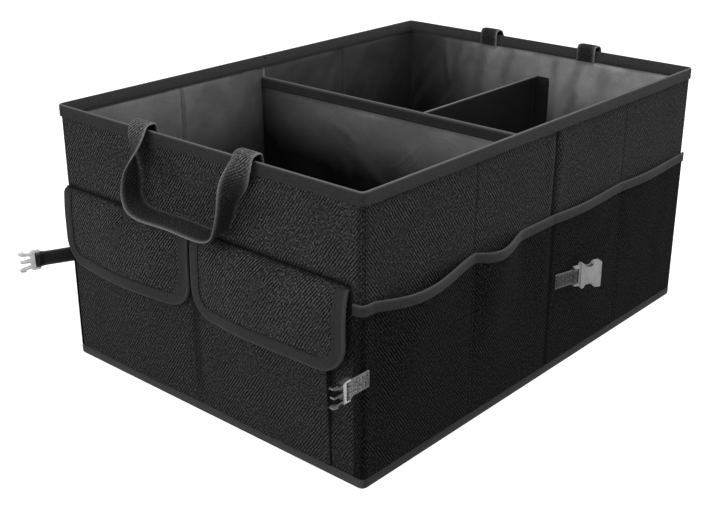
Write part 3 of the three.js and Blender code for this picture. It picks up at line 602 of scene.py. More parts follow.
MATERIALS = {name: (cloth_material, kind.slot) for name, kind in CLOTHS.items()}
MATERIALS.update({name: (nylon, "buckle") for name in NYLONS})
MATERIALS["satin_lining"] = (satin_lining, "lining")
MATERIALS["grip_pile"] = (grip_pile, "grip")
MATERIALS["greyboard"] = (greyboard, "board")


def dress(obj, name):
    """Gives a piece its finish."""
    make, slot_name = MATERIALS[name]
    finish = bpy.data.materials.get(name) or make(name)
    obj.data.materials.clear()
    obj.data.materials.append(finish)


# Shapes

HEM = 0.7 * MM


def smooth(value, start, end):
    t = np.clip((np.asarray(value, float) - start) / (end - start), 0, 1)
    return t * t * (3 - 2 * t)


def between(value, rise_from, rise_to, fall_from, fall_to):
    """1 inside a band and 0 outside it, with soft edges."""
    return smooth(value, rise_from, rise_to) * (1 - smooth(value, fall_from, fall_to))


def hump(value, start, end):
    """0 outside start..end and 1 in the middle, with rounded shoulders."""
    t = np.clip((np.asarray(value, float) - start) / (end - start), 0, 1)
    return np.sin(pi * t) ** 1.5


def ridge(value, centre, half):
    return np.exp(-(((np.asarray(value, float) - centre) / half) ** 2))


def clear_of_divider(x):
    """0 where the long divider meets the cloth, and 1 away from it."""
    return smooth(np.abs(x - 8 * MM), 12 * MM, 24 * MM)


def over(crease, other):
    """Two creases that lie over each other."""
    return 1 - (1 - crease) * (1 - other)


def unevenness(u, v, seed, wavelength, waves=8):
    """A soft random surface between about -1 and 1, the same on each run."""
    pick = np.random.default_rng(seed)
    total = np.zeros(np.broadcast(u, v).shape)
    for _ in range(waves):
        heading = pick.uniform(0, 2 * pi)
        span = wavelength * pick.uniform(0.6, 1.7)
        phase = pick.uniform(0, 2 * pi)
        total = total + np.sin(2 * pi * (u * cos(heading) + v * sin(heading)) / span + phase)
    return total / waves**0.5


def fold(u, v, start, end, half, height):
    """A soft fold of cloth along a line from start to end, which fades out at both ends."""
    (ax, ay), (bx, by) = start, end
    dx, dy = bx - ax, by - ay
    t = np.clip(((u - ax) * dx + (v - ay) * dy) / (dx * dx + dy * dy), 0, 1)
    away = (u - ax - t * dx) ** 2 + (v - ay - t * dy) ** 2
    return height * np.exp(-away / (2 * half * half)) * (0.15 + 0.85 * np.sin(pi * t))


def folds(u, v, lines):
    """Soft folds, from both ends, the half width and the height of each one in millimetres."""
    total = 0
    for line in lines:
        x0, z0, x1, z1, half, high = (n * MM for n in line)
        total = total + fold(u, v, (x0, z0), (x1, z1), half, high)
    return total


def spread(x, y, z):
    """Points from coordinates that are spread over each other."""
    return np.stack(np.broadcast_arrays(x, y, z), -1).astype(float)


def unit(directions):
    return directions / np.linalg.norm(directions, axis=-1, keepdims=True)


def distances(line):
    """How far along a line each of its points is."""
    return np.concatenate([[0], np.cumsum(np.linalg.norm(np.diff(line, axis=0), axis=1))])


def read_line(at, run, line):
    return np.stack([np.interp(at, run, line[:, k]) for k in range(line.shape[1])], -1)


def spline(points, per_span=8):
    """A smooth line through the points, by centripetal Catmull-Rom spans."""
    p = np.asarray(points, float)
    p = np.vstack([2 * p[0] - p[1], p, 2 * p[-1] - p[-2]])
    out = []
    for a, b, c, d in zip(p, p[1:], p[2:], p[3:]):
        t1 = np.linalg.norm(b - a) ** 0.5
        t2 = t1 + np.linalg.norm(c - b) ** 0.5
        t3 = t2 + np.linalg.norm(d - c) ** 0.5
        for t in np.linspace(t1, t2, per_span, endpoint=False):
            ab = a * (t1 - t) / t1 + b * t / t1
            bc = b * (t2 - t) / (t2 - t1) + c * (t - t1) / (t2 - t1)
            cd = c * (t3 - t) / (t3 - t2) + d * (t - t2) / (t3 - t2)
            abc = ab * (t2 - t) / t2 + bc * t / t2
            bcd = bc * (t3 - t) / (t3 - t1) + cd * (t - t1) / (t3 - t1)
            out.append(abc * (t2 - t) / (t2 - t1) + bcd * (t - t1) / (t2 - t1))
    out.append(p[-2])
    return np.array(out)


def evenly(line, step):
    """The same line with points at an even distance."""
    run = distances(line)
    return read_line(np.linspace(0, run[-1], max(2, int(round(run[-1] / step)) + 1)), run, line)


def shifted(profile, distance):
    """A flat line moved sideways by distance, to its left."""
    ahead = unit(np.gradient(profile, axis=0))
    return profile + distance * np.stack([-ahead[:, 1], ahead[:, 0]], 1)


def layout(points, ring):
    """Distances along the rows and across the columns of a grid of points, in metres."""
    rows = np.concatenate([points, points[:1]]) if ring else points
    along = np.linalg.norm(np.diff(rows, axis=0), axis=2).mean(1)
    across = np.linalg.norm(np.diff(points, axis=1), axis=2).mean(0)
    return np.concatenate([[0], np.cumsum(along)]), np.concatenate([[0], np.cumsum(across)])


def cloth_object(name, outer, inner, ring=False, crease=None, worn=None):
    """A closed piece of cloth between two grids of points, with its flat layout in metres."""
    rows, columns = outer.shape[:2]
    along, across = layout(outer, ring)
    if outer[:, -1, 2].mean() < outer[:, 0, 2].mean():
        across = -across
    laps = rows if ring else rows - 1
    size = rows * columns
    faces, corners = [], []

    def add(places, *flat):
        faces.append(np.stack(places, 1))
        corners.append(np.array([[np.broadcast_to(part, places[0].shape) for part in uv] for uv in flat]))

    i, j = (g.ravel() for g in np.meshgrid(np.arange(laps), np.arange(columns - 1), indexing="ij"))
    a, b = i * columns + j, (i + 1) % rows * columns + j
    here, ahead, low, high = along[i], along[i + 1], across[j], across[j + 1]
    add([a, b, b + 1, a + 1], (here, low), (ahead, low), (ahead, high), (here, high))
    add([size + a, size + a + 1, size + b + 1, size + b], (here, low), (here, high), (ahead, high), (ahead, low))
    lap = np.arange(laps)
    here, ahead = along[lap], along[lap + 1]
    for edge, push in ((0, -HEM), (columns - 1, HEM)):
        a, b, v = lap * columns + edge, (lap + 1) % rows * columns + edge, across[edge]
        add([a, size + a, size + b, b], (here, v), (here, v + push), (ahead, v + push), (ahead, v))
    if not ring:
        step = np.arange(columns - 1)
        low, high = across[step], across[step + 1]
        for edge, push in ((0, -HEM), (rows - 1, HEM)):
            a, u = edge * columns + step, along[edge]
            add([a, a + 1, size + a + 1, size + a], (u, low), (u, high), (u + push, high), (u + push, low))
    mesh = bpy.data.meshes.new(name)
    points = np.concatenate([outer.reshape(-1, 3), inner.reshape(-1, 3)])
    mesh.from_pydata(points.tolist(), [], np.concatenate(faces).tolist())
    flat = np.concatenate([c.transpose(2, 0, 1) for c in corners]).reshape(-1, 2)
    mesh.uv_layers.new(name="Cloth").data.foreach_set("uv", flat.astype(np.float32).ravel())
    for label, values in (("crease", crease), ("worn", worn)):
        if values is not None:
            full = np.broadcast_to(np.asarray(values, float), (rows, columns)).ravel()
            layer = mesh.attributes.new(label, "FLOAT", "POINT")
            layer.data.foreach_set("value", np.concatenate([full, full]).astype(np.float32))
    face_out(mesh)
    return linked(name, mesh)


def linked(name, mesh):
    obj = bpy.data.objects.new(name, mesh)
    bpy.context.scene.collection.objects.link(obj)
    return obj


def face_out(mesh, sharp=48):
    """Turns every face outwards and shades the mesh smooth, apart from its sharp edges."""
    work = bmesh.new()
    work.from_mesh(mesh)
    bmesh.ops.recalc_face_normals(work, faces=work.faces)
    work.to_mesh(mesh)
    work.free()
    mesh.shade_smooth()
    mesh.set_sharp_from_angle(angle=radians(sharp))


def finish_piece(obj, material, nodes=(), body="root"):
    dress(obj, material)
    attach(obj, body)
    if nodes:
        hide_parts(*nodes)


# A stitch: rings of thread along it, each with how far along it is, its width and how far up it sits
STITCH_RINGS = ((0.0, 0.35, -0.35), (0.25, 1.0, 0.45), (0.75, 1.0, 0.45), (1.0, 0.35, -0.35))
STITCH_SIDES = 4
STITCH_FILL = 0.72
STITCH_LIFT = 0.12 * MM


def stitch_row(line, normals, pitch, thick):
    """Points and faces of a row of small thread stitches along a line that lies on a surface."""
    normals = np.broadcast_to(np.asarray(normals, float), line.shape)
    run = distances(line)
    count = max(1, int(run[-1] / pitch))
    pitch = run[-1] / count
    points, faces = [], []
    for n in range(count):
        low = pitch * (n + (1 - STITCH_FILL) / 2)
        high = pitch * (n + (1 + STITCH_FILL) / 2)
        a, b = read_line(low, run, line), read_line(high, run, line)
        normal = unit(read_line((low + high) / 2, run, normals))
        across = unit(np.cross(b - a, normal))
        first = len(points)
        for t, wide, up in STITCH_RINGS:
            centre = a + (b - a) * t + normal * (STITCH_LIFT + thick * 0.5 * up)
            for side in range(STITCH_SIDES):
                angle = 2 * pi * side / STITCH_SIDES
                points.append(centre + thick / 2 * wide * (across * cos(angle) + normal * sin(angle)))
        last = first + (len(STITCH_RINGS) - 1) * STITCH_SIDES
        for ring in range(first, last, STITCH_SIDES):
            for side in range(STITCH_SIDES):
                p, q = ring + side, ring + (side + 1) % STITCH_SIDES
                faces.append((p, q, q + STITCH_SIDES, p + STITCH_SIDES))
        faces.append(tuple(range(first + STITCH_SIDES - 1, first - 1, -1)))
        faces.append(tuple(range(last, last + STITCH_SIDES)))
    return points, faces


def stitching(name, rows, body="root", pitch=None, thick=0.55 * MM):
    """One piece of sewing thread, from rows of a line and the direction out of its surface."""
    pitch = pitch or bpy.context.scene.organizer_sizes.stitch
    points, faces = [], []
    for line, normals in rows:
        new_points, new_faces = stitch_row(line, normals, pitch, thick)
        faces += [tuple(len(points) + n for n in f) for f in new_faces]
        points += new_points
    mesh = bpy.data.meshes.new(name)
    mesh.from_pydata([tuple(p) for p in points], [], faces)
    co = np.array(points)[[v for f in faces for v in f]]
    flat = np.stack([co[:, 0] + co[:, 1], co[:, 2]], 1)
    mesh.uv_layers.new(name="Cloth").data.foreach_set("uv", flat.astype(np.float32).ravel())
    face_out(mesh, 80)
    finish_piece(linked(name, mesh), "sewing_thread", body=body)


# Plan of the walls

SQUARE = 3.2
CLOTH, LINING, TAPE = 1.0 * MM, 0.7 * MM, 0.9 * MM
FIT = 0.3 * MM
WALL_DEPTH = 4.7 * MM
FLOOR_TOP = 4.7 * MM
BACK_CREASE = 122 * MM
PANEL = CLOTH + FIT
SEAMS = FRONT_SEAM, REAR_SEAM = -118 * MM, 130 * MM
ENDS = ("front", "back")
WALLS = {
    "front": ((1, 0), (0, -1)),
    "back": ((-1, 0), (0, 1)),
    "right": ((0, 1), (1, 0)),
    "left": ((0, -1), (-1, 0)),
}


def squared(angle):
    """Direction out of a corner at an angle, longer in the middle, so that the corner isn't a round arc."""
    c, s = cos(angle), sin(angle)
    reach = (abs(c) ** SQUARE + abs(s) ** SQUARE) ** (-1 / SQUARE)
    return np.array([c, s]) * reach


def placed(low, high, seams, fine, coarse, reach=9 * MM):
    """Places between low and high: fine steps near both ends and the seams, and coarse ones elsewhere."""
    at, out = low + fine, []
    while at < high - 0.4 * fine:
        out.append(at)
        near = min(abs(at - c) for c in (low, high, *seams))
        at += fine if near < reach else min(coarse, near - reach + fine)
    return np.array(out)


def half_along(side):
    """Half of a wall's length, up to the faces of the walls beside it."""
    s = bpy.context.scene.organizer_sizes
    return (s.width if side in ENDS else s.length) / 2


def wall_line(side, fine, coarse, trim=0.15 * MM):
    """Points on the outer face of one wall, the directions out of it, and the distance along it, from the
    middle of one corner to the middle of the next."""
    s = bpy.context.scene.organizer_sizes
    along, out = (np.array(v, float) for v in WALLS[side])
    depth, r = (s.length if side in ENDS else s.width) / 2, s.corner
    straight = half_along(side) - r
    across = {"front": (POCKET_HIGH.x,), "back": (BACK_CREASE,)}
    seams = across.get(side, (FRONT_SEAM * along[1], s.fold * along[1], REAR_SEAM * along[1]))
    flat = [(along * t + out * depth, out, t) for t in placed(-straight, straight, seams, fine, coarse)]
    turn = np.linspace(pi / 4 - trim / r, 0, 7)
    rows = []
    for sign, angles in ((-1, turn), (1, turn[::-1])):
        for a in angles:
            direction = out * squared(a)[0] + along * sign * squared(a)[1]
            centre = along * sign * straight + out * (depth - r)
            rows.append((centre + direction * r, direction, sign * (straight + r * a)))
    points, normals, place = zip(*rows[: len(turn)], *flat, *rows[len(turn) :])
    return np.array(points), np.array(normals), np.array(place)


def ring_line(step):
    """Points and directions on the outline of the box, all the way round."""
    s = bpy.context.scene.organizer_sizes
    hw, hl, r = s.width / 2, s.length / 2, s.corner
    points, normals = [], []
    corners = (((1, -1), -pi / 2), ((1, 1), 0), ((-1, 1), pi / 2), ((-1, -1), pi))
    for n, ((sx, sy), start) in enumerate(corners):
        centre = np.array([sx * (hw - r), sy * (hl - r)])
        for a in np.linspace(start, start + pi / 2, 9):
            direction = squared(a)
            points.append(centre + r * direction)
            normals.append(direction)
        (tx, ty), _ = corners[(n + 1) % 4]
        last, direction = points[-1], normals[-1]
        goal = np.array([tx * (hw - r), ty * (hl - r)]) + r * direction
        count = int(np.linalg.norm(goal - last) / step)
        for t in np.arange(1, count) / count:
            points.append(last + (goal - last) * t)
            normals.append(direction)
    return np.array(points), np.array(normals)


def raise_wall(points, normals, heights, offset):
    """A grid of wall points at some heights. offset is how far each one stands out from the outer face."""
    return spread(points[:, :1] + normals[:, :1] * offset, points[:, 1:] + normals[:, 1:] * offset, heights)


# Pieces


def needle_dots(z, pitch=4.2 * MM):
    """Dark dots along a seam, as painted shade where the needle pulled the cloth in."""
    return 0.45 + 0.55 * np.sin(pi * z / pitch) ** 2


# Painted shadows of the front handle on the wall: both ends and the half width, in millimetres
HANDLE_SHADOWS = ((-54, 249, -34, 206, 5), (60, 246, 74, 200, 6), (-40, 246, -20, 214, 4))


def outer_relief(side, points, place, heights):
    """How the outer cloth of a wall stands in or out, and where it is creased, with painted shade in its creases
    and seams and painted handle shadows.
    """
    s = bpy.context.scene.organizer_sizes
    u, z = place[:, None], heights[None, :]
    x, y = points[:, :1], points[:, 1:]
    to_corner = half_along(side) - np.abs(u)
    mitre = s.corner * (1 - pi / 4)
    tape = s.height - s.rim_drop
    free = between(z, s.base_rise, s.base_rise + 14 * MM, tape - 12 * MM, tape - 1 * MM)
    soft = unevenness(u, z, 11 + len(side), 60 * MM) + 0.9
    relief = 0.28 * MM * soft * free * smooth(to_corner, 4 * MM, 25 * MM)
    end = between(z, 2 * MM, 14 * MM, tape - 2 * MM, tape + 1 * MM)
    relief = relief - 0.7 * MM * ridge(to_corner, mitre, 1.6 * MM) * end
    # Painted shade beside each corner seam, in dots
    crease = ridge(to_corner, mitre + 2.8 * MM, 1.7 * MM) * end * needle_dots(z)
    if side not in ENDS:
        rolls = ridge(y, s.fold - 9 * MM, 4 * MM) + ridge(y, s.fold + 9 * MM, 4 * MM)
        relief = relief - 2.3 * MM * ridge(y, s.fold, 3.0 * MM) + 0.7 * MM * rolls * free
        # Painted shade in the fold crease and along the seams
        crease = np.maximum(crease, 1.2 * ridge(y, s.fold, 2.4 * MM))
        for seam in SEAMS:
            relief = relief - 0.55 * MM * ridge(y, seam, 1.6 * MM)
            crease = np.maximum(crease, 0.85 * ridge(y, seam, 1.5 * MM) * needle_dots(z))
    if side == "front":
        seam, edge = s.flap_seam, POCKET_HIGH.x
        where = smooth(s.width / 2 - np.abs(x), 2 * MM, 9 * MM)
        lip = between(z, seam + 2.2 * MM, seam + 4 * MM, seam + 5 * MM, seam + 26 * MM)
        relief = relief + 1.5 * MM * lip * where
        # Painted shade in the groove above the flaps
        gap = between(z, seam - 3 * MM, seam - 1 * MM, seam + 2.2 * MM, seam + 3.6 * MM)
        crease = np.maximum(crease, gap * where * (x < FLAP_RIGHT_HIGH.x + 3 * MM))
        # Painted shadows of the handle on the wall
        for x0, z0, x1, z1, half in HANDLE_SHADOWS:
            crease = np.maximum(crease, fold(x, z, (x0 * MM, z0 * MM), (x1 * MM, z1 * MM), half * MM, 0.5))
        # Painted shade on the pocket's open side and beside it, below the flap seam
        gap = between(x, edge - 3 * MM, edge + 1 * MM, edge + 3 * MM, edge + 9 * MM)
        gap = gap * smooth(z, 20 * MM, 80 * MM)
        beside = 0.5 * smooth(x, edge, edge + 2 * MM)
        crease = np.maximum(crease, np.maximum(gap, beside) * (z < seam))
    return relief, np.clip(crease, 0, 1)


class ORGANIZER_OT_outer_walls(bpy.types.Operator):
    """Outer cloth of the four walls and the base, with its creases and seams"""

    bl_idname = "organizer.outer_walls"
    bl_label = "Outer cloth"

    def execute(self, context):
        s = context.scene.organizer_sizes
        top = s.height - 1.9 * MM
        for side in WALLS:
            step = 2.5 * MM if side in ENDS else 1.5 * MM
            points, normals, place = wall_line(side, step, 4.5 * MM)
            heights = np.linspace(1.3 * MM, top, 100)
            relief, crease = outer_relief(side, points, place, heights)
            obj = cloth_object(
                f"outer_cloth_{side}",
                raise_wall(points, normals, heights, relief),
                raise_wall(points, normals, heights, relief - CLOTH),
                crease=crease,
            )
            finish_piece(obj, "twill_front" if side in ENDS else "twill_side", [f"outer_{side}"])
        self.add_base()
        self.add_seam_threads(s)
        return {"FINISHED"}

    def add_base(self):
        points, _ = ring_line(8 * MM)
        shares = np.array([1.0, 0.985, 0.9, 0.6, 0.3, 0.03])
        x, y = points[:, :1] * shares, points[:, 1:] * shares
        obj = cloth_object("outer_cloth_base", spread(x, y, 0), spread(x, y, CLOTH), ring=True)
        plan = np.array([obj.data.vertices[loop.vertex_index].co[:2] for loop in obj.data.loops], np.float32)
        obj.data.uv_layers["Cloth"].data.foreach_set("uv", plan.ravel())
        finish_piece(obj, "twill_side", ["outer_base"])

    def add_seam_threads(self, s):
        """Stitches down the seams of the side walls, and beside the seam of each corner."""
        tape = s.height - s.rim_drop
        x, z = s.width / 2 - 0.5 * MM, np.linspace(s.side_mouth + 4 * MM, tape - 2 * MM, 30)
        rows = [(spread(sign * x, seam, z), (sign, 0.0, 0.0)) for sign in (-1, 1) for seam in SEAMS]
        for sx, sy in ((-1, -1), (-1, 1), (1, -1), (1, 1)):
            over_pocket = sx > 0 and sy < 0
            low = s.side_mouth + 3 * MM if over_pocket else s.base_rise + 2 * MM
            z = np.linspace(low, tape - 2 * MM, 40 if over_pocket else 60)
            x, y = sx * (s.width / 2 - s.corner), sy * (s.length / 2 - s.corner)
            for lean in (18, 72):
                out = sx * cos(radians(lean)), sy * sin(radians(lean)), 0.0
                rows.append((spread(x + out[0] * s.corner, y + out[1] * s.corner, z), out))
        stitching("seam_threads_walls", rows)


def lining_shade(x, y, z):
    """Painted shade on the lining: more with depth, and more towards the far left corner of a compartment."""
    s = bpy.context.scene.organizer_sizes
    hx, hy = s.width / 2, s.length / 2
    kept = 0.1 + 0.9 * smooth(z, 0.48 * s.height, 0.96 * s.height)
    near = np.hypot(x + hx, y - np.where(y < -1 * MM, 0, hy))
    kept = kept * (1 - 0.62 * np.exp(-near / (62 * MM))) * (0.72 + 0.28 * smooth(x, -hx, hx))
    front = np.where(y < -1 * MM, 1.0, 0.0)
    kept = kept * (1 - front * 0.32 * (1 - smooth(z, 0.5 * s.height, 0.8 * s.height)))
    kept = kept * (1 - 0.14 * front * smooth(-x, hx - 12 * MM, hx - 6 * MM))
    # More painted shade in the rear left compartment
    kept = kept * np.where((y > 1 * MM) & (x < 4 * MM), 0.22 + 0.68 * smooth(x, -0.8 * hx, -0.2 * hx), 1.0)
    return (1 - kept) / 0.85


# Folds of the back lining: both ends, the half width and the height, in millimetres
BACK_FOLDS = (
    (-100, 246, -112, 196, 5, 1.6),
    (-128, 243, -124, 190, 2.6, 1.5),
    (-62, 247, -78, 176, 7, 1.8),
    (-20, 247, -45, 205, 5, 1.0),
    (66, 247, 52, 170, 6, 1.4),
    (110, 240, 90, 120, 9, 1.6),
)


def lining_folds(side, place, heights):
    """Wrinkles of the lining, as how far it stands off the wall, and its creases, which carry painted shade."""
    s = bpy.context.scene.organizer_sizes
    u, z = place[:, None], heights[None, :]
    tape = s.height - s.rim_drop
    total = 0.35 * MM * (unevenness(u, z, 40 + len(side), 70 * MM) + 1.0)
    total = total + 0.28 * MM * (unevenness(u + 0.6 * z, 0.25 * z, 50 + len(side), 26 * MM) + 1.0)
    pick = np.random.default_rng(7 + len(side) * 3)
    half = half_along(side)
    for _ in range(int(26 * half / 0.19)):
        u0 = pick.uniform(-half + 12 * MM, half - 12 * MM)
        z0 = pick.uniform(0.25, 0.95) * s.height
        lean = radians(pick.choice([pick.uniform(55, 85), pick.uniform(95, 125)]))
        reach = pick.uniform(30, 95) * MM
        end = (u0 + reach * cos(lean), z0 - reach * sin(lean))
        total = total + fold(u, z, (u0, z0), end, pick.uniform(3, 8) * MM, pick.uniform(0.3, 1.0) * MM)
    crease = np.zeros(total.shape)
    if side == "back":
        total = total + folds(-u, z, BACK_FOLDS)
        # Painted shade along one fold of the back lining
        crease = 0.35 * fold(-u, z, (-0.124, 0.243), (-0.121, 0.195), 1.2 * MM, 1.0)
        total = total * smooth(np.abs(-u - 11 * MM), 9 * MM, 20 * MM)
    if side not in ENDS:
        y = u if side == "right" else -u
        total = total * smooth(np.abs(y), 3 * MM, 16 * MM) + 1.1 * MM * ridge(y, s.fold, 2.0 * MM)
        for seam in SEAMS:
            total = total * (1 - 0.9 * ridge(y, seam, 3.0 * MM))
            # Painted shade along the seams
            crease = np.maximum(crease, 0.75 * ridge(y, seam, 0.9 * MM))
            total = total + 0.5 * MM * (ridge(y, seam + 4 * MM, 2.2 * MM) + ridge(y, seam - 4 * MM, 2.2 * MM))
    edge = between(z, FLOOR_TOP, FLOOR_TOP + 20 * MM, tape - 5 * MM, tape + 1 * MM)
    edge = edge * smooth(half - np.abs(u), 6 * MM, 18 * MM)
    gain, slope_shading = (1.0, 1.6) if side == "left" else (1.3, 3.5)
    total = np.clip(gain * s.wrinkles * total * edge, 0, 4 * MM)
    # Painted shade on the side of each fold that slopes one way, as if lit from the side
    slope = np.gradient(total, axis=0) / np.gradient(place)[:, None]
    return total, np.maximum(crease, np.clip(-slope_shading * slope, 0, 0.45))


class ORGANIZER_OT_lining(bpy.types.Operator):
    """Smooth lining of the walls and the floor, with its wrinkles and seams"""

    bl_idname = "organizer.lining"
    bl_label = "Lining"

    def execute(self, context):
        s = context.scene.organizer_sizes
        top = s.height - TAPE - FIT
        for side in WALLS:
            points, normals, place = wall_line(side, 2.0 * MM, 4.0 * MM)
            heights = np.linspace(FLOOR_TOP + FIT, top - 1.2 * MM, 84)
            wrinkled, crease = lining_folds(side, place, heights)
            shade = lining_shade(points[:, :1], points[:, 1:], heights[None, :])
            corner = ridge(half_along(side) - np.abs(place), s.corner * (1 - pi / 4), 1.2 * MM)
            depth = WALL_DEPTH - 2.9 * MM * np.clip((heights - s.height + 11 * MM) / (8.5 * MM), 0, 1)
            obj = cloth_object(
                f"lining_cloth_{side}",
                raise_wall(points, normals, heights, -depth - wrinkled),
                raise_wall(points, normals, heights, LINING - depth),
                # Painted shade of the folds and of depth, and a painted highlight down the corners
                crease=over(crease, shade),
                worn=0.1 * corner[:, None] * np.clip(1 - shade, 0, 1),
            )
            finish_piece(obj, "satin_lining", [f"lining_{side}"])
        self.add_floor(s)
        x, z = s.width / 2 - WALL_DEPTH - 0.15 * MM, np.linspace(12 * MM, s.height - s.rim_drop - 2 * MM, 60)
        rows = [(spread(sign * x, seam, z), (-sign, 0.0, 0.0)) for sign in (-1, 1) for seam in SEAMS]
        stitching("seam_threads_lining", rows)
        return {"FINISHED"}

    def add_floor(self, s):
        hx, hy = s.width / 2 - WALL_DEPTH + 0.5 * MM, s.length / 2 - WALL_DEPTH + 0.5 * MM
        x, y = np.meshgrid(np.linspace(-hx, hx, 56), np.linspace(-hy, hy, 74), indexing="ij")
        bump = 0.5 * MM * (unevenness(x, y, 91, 80 * MM) + 1.0) * s.wrinkles
        clear = smooth(np.abs(y), 5 * MM, 16 * MM) * np.maximum(y < 0, clear_of_divider(x))
        edge = smooth(hx - np.abs(x), 2 * MM, 14 * MM) * smooth(hy - np.abs(y), 2 * MM, 14 * MM)
        upper, lower = spread(x, y, FLOOR_TOP + bump * clear * edge), spread(x, y, FLOOR_TOP - LINING)
        finish_piece(cloth_object("lining_cloth_floor", upper, lower), "floor_lining", ["lining_floor"])


class ORGANIZER_OT_boards(bpy.types.Operator):
    """Greyboard stiffeners inside the cloth. Those of the walls end below the stitching of the rim"""

    bl_idname = "organizer.boards"
    bl_label = "Boards"

    def execute(self, context):
        s = context.scene.organizer_sizes
        for name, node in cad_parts.items():
            if "board" not in name:
                continue
            low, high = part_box(name)
            if name == "long_divider_board":
                end = Vector((0, 4 * MM, 0))
                self.add_cut_board(name, low + end, high - end, "lift_out_divider")
            elif high.z < s.height - 5 * MM:
                dress(node, "greyboard")
            else:
                high.z = s.height - s.rim_drop - 0.5 * MM
                self.add_cut_board(name, low, high, "root")
        return {"FINISHED"}

    def add_cut_board(self, name, low, high, body):
        work = bmesh.new()
        bmesh.ops.create_cube(work, size=1.0)
        size = high - low
        bmesh.ops.scale(work, vec=size, verts=work.verts)
        bmesh.ops.translate(work, vec=(low + high) / 2, verts=work.verts)
        bmesh.ops.bevel(work, geom=work.edges[:], offset=0.35 * MM, segments=2, affect="EDGES", profile=0.5)
        mesh = bpy.data.meshes.new(f"{name}_cut")
        work.to_mesh(mesh)
        work.free()
        finish_piece(linked(f"{name}_cut", mesh), "greyboard", [name], body)


def folded_edge(out, into, low_out, low_in, top, round_by, steps=12):
    """The outer line of a tape folded over an edge: (offset, height) up one side, over and down the other."""
    middle, half = (out + into) / 2, (out - into) / 2
    bow = []
    for a in np.radians(np.linspace(0, 180, steps)):
        aside = half * np.sign(cos(a)) * abs(cos(a)) ** 0.7
        bow.append((middle + aside, top - round_by + round_by * sin(a) ** 0.7))
    rise = [(out, z) for z in np.linspace(low_out, top - round_by, 6)[:-1]]
    fall = [(into, z) for z in np.linspace(top - round_by, low_in, 5)[1:]]
    return np.array(rise + bow + fall)


class ORGANIZER_OT_tapes(bpy.types.Operator):
    """Tape folded over the rim, and tape round the foot of the walls"""

    bl_idname = "organizer.tapes"
    bl_label = "Rim and base tape"

    def execute(self, context):
        s = context.scene.organizer_sizes
        points, normals = ring_line(6 * MM)
        low, top = s.height - s.rim_drop, s.height
        outside, inside = FIT + TAPE, -WALL_DEPTH - FIT - TAPE
        nose = [(0.95, -1.0), (0.35, -0.2), (-0.5, 0.0), (-1.4, -0.45)]
        nose += [(-2.3, -1.7), (-3.3, -3.6), (-4.6, -6.4)]
        profile = spline(
            [(outside, low), (outside, low + 4 * MM), (outside, top - 4 * MM), (outside, top - 2.2 * MM)]
            + [(x * MM, top + z * MM) for x, z in nose]
            + [(inside + 0.5 * MM, top - 9 * MM), (inside, low)],
            4,
        )
        inner = shifted(profile, TAPE)
        sway = 0.18 * MM * unevenness(distances(points)[:, None], np.zeros(len(profile)), 5, 60 * MM)

        def section(line):
            heights = line[:, 1] + sway * (line[:, 1] < low + 3 * MM)
            return raise_wall(points, normals, heights, line[:, 0])

        # Painted highlight along the top of the rim tape's fold
        worn = 0.55 * ridge(profile[:, 0], 0.3 * MM, 0.55 * MM) * (profile[:, 1] > top - 1.6 * MM)
        rim = cloth_object("rim_tape_cloth", section(profile), section(inner), ring=True, worn=worn)
        finish_piece(rim, "binding_tape", ["rim_tape"])

        heights = np.linspace(0.5 * MM, s.base_rise, 9)
        bow = 0.25 * MM * np.sin(pi * (heights - heights[0]) / (heights[-1] - heights[0]))
        foot = cloth_object(
            "base_tape_cloth",
            raise_wall(points, normals, heights, outside + bow),
            raise_wall(points, normals, heights, FIT),
            ring=True,
            # Painted light: the base tape is lighter where it faces the front
            worn=0.16 * (normals[:, 1:] < -0.7),
        )
        finish_piece(foot, "binding_tape", ["base_tape"])

        rows = []
        line, out = np.vstack([points, points[:1]]), np.vstack([normals, normals[:1]])
        out = spread(out[:, 0], out[:, 1], 0)
        for offset, z, sign in (
            (outside, low + 2.4 * MM, 1),
            (inside, low + 2.4 * MM, -1),
            (outside + 0.15 * MM, s.base_rise - 2.2 * MM, 1),
        ):
            rows.append((spread(line[:, 0], line[:, 1], z) + out * offset, sign * out))
        stitching("seam_threads_tapes", rows)
        return {"FINISHED"}


# Side edges of the front pocket panel, the seam between its pockets, and where its open side turns in
POCKET_LEFT, POCKET_SPLIT, POCKET_RIGHT, POCKET_TURN = -182 * MM, -7 * MM, 156 * MM, 154.8 * MM
LEFT_PATCH, RIGHT_PATCH = (-187.6 - 7) / 2 * MM, (156 - 7) / 2 * MM
PATCH_ACROSS = np.linspace(-30, 30, 31)[:, None] * MM
PATCH_UP = (14 + np.linspace(0, 20, 11))[None, :] * MM
PATCH_THICK = 1.0 * MM

# Folds of the front pockets and of the side pockets: both ends, the half width and the height, in millimetres
POCKET_FOLDS = (
    (-14, 96, -34, 22, 6, 0.9),
    (2, 98, 20, 20, 6, 0.9),
    (-150, 92, -172, 30, 9, 0.7),
    (140, 90, 120, 18, 9, 0.9),
)
SIDE_FOLDS = (
    (-108, 150, -90, 96, 7, 0.6),
    (-126, 150, -142, 92, 8, 0.6),
    (-60, 156, -48, 90, 8, 0.5),
    (-196, 158, -214, 80, 10, 1.0),
    (2, 152, -14, 60, 6, 0.8),
    (14, 150, 30, 84, 6, 0.7),
    (122, 150, 106, 76, 6, 0.7),
    (140, 152, 156, 80, 6, 0.7),
    (236, 150, 222, 60, 8, 0.7),
)


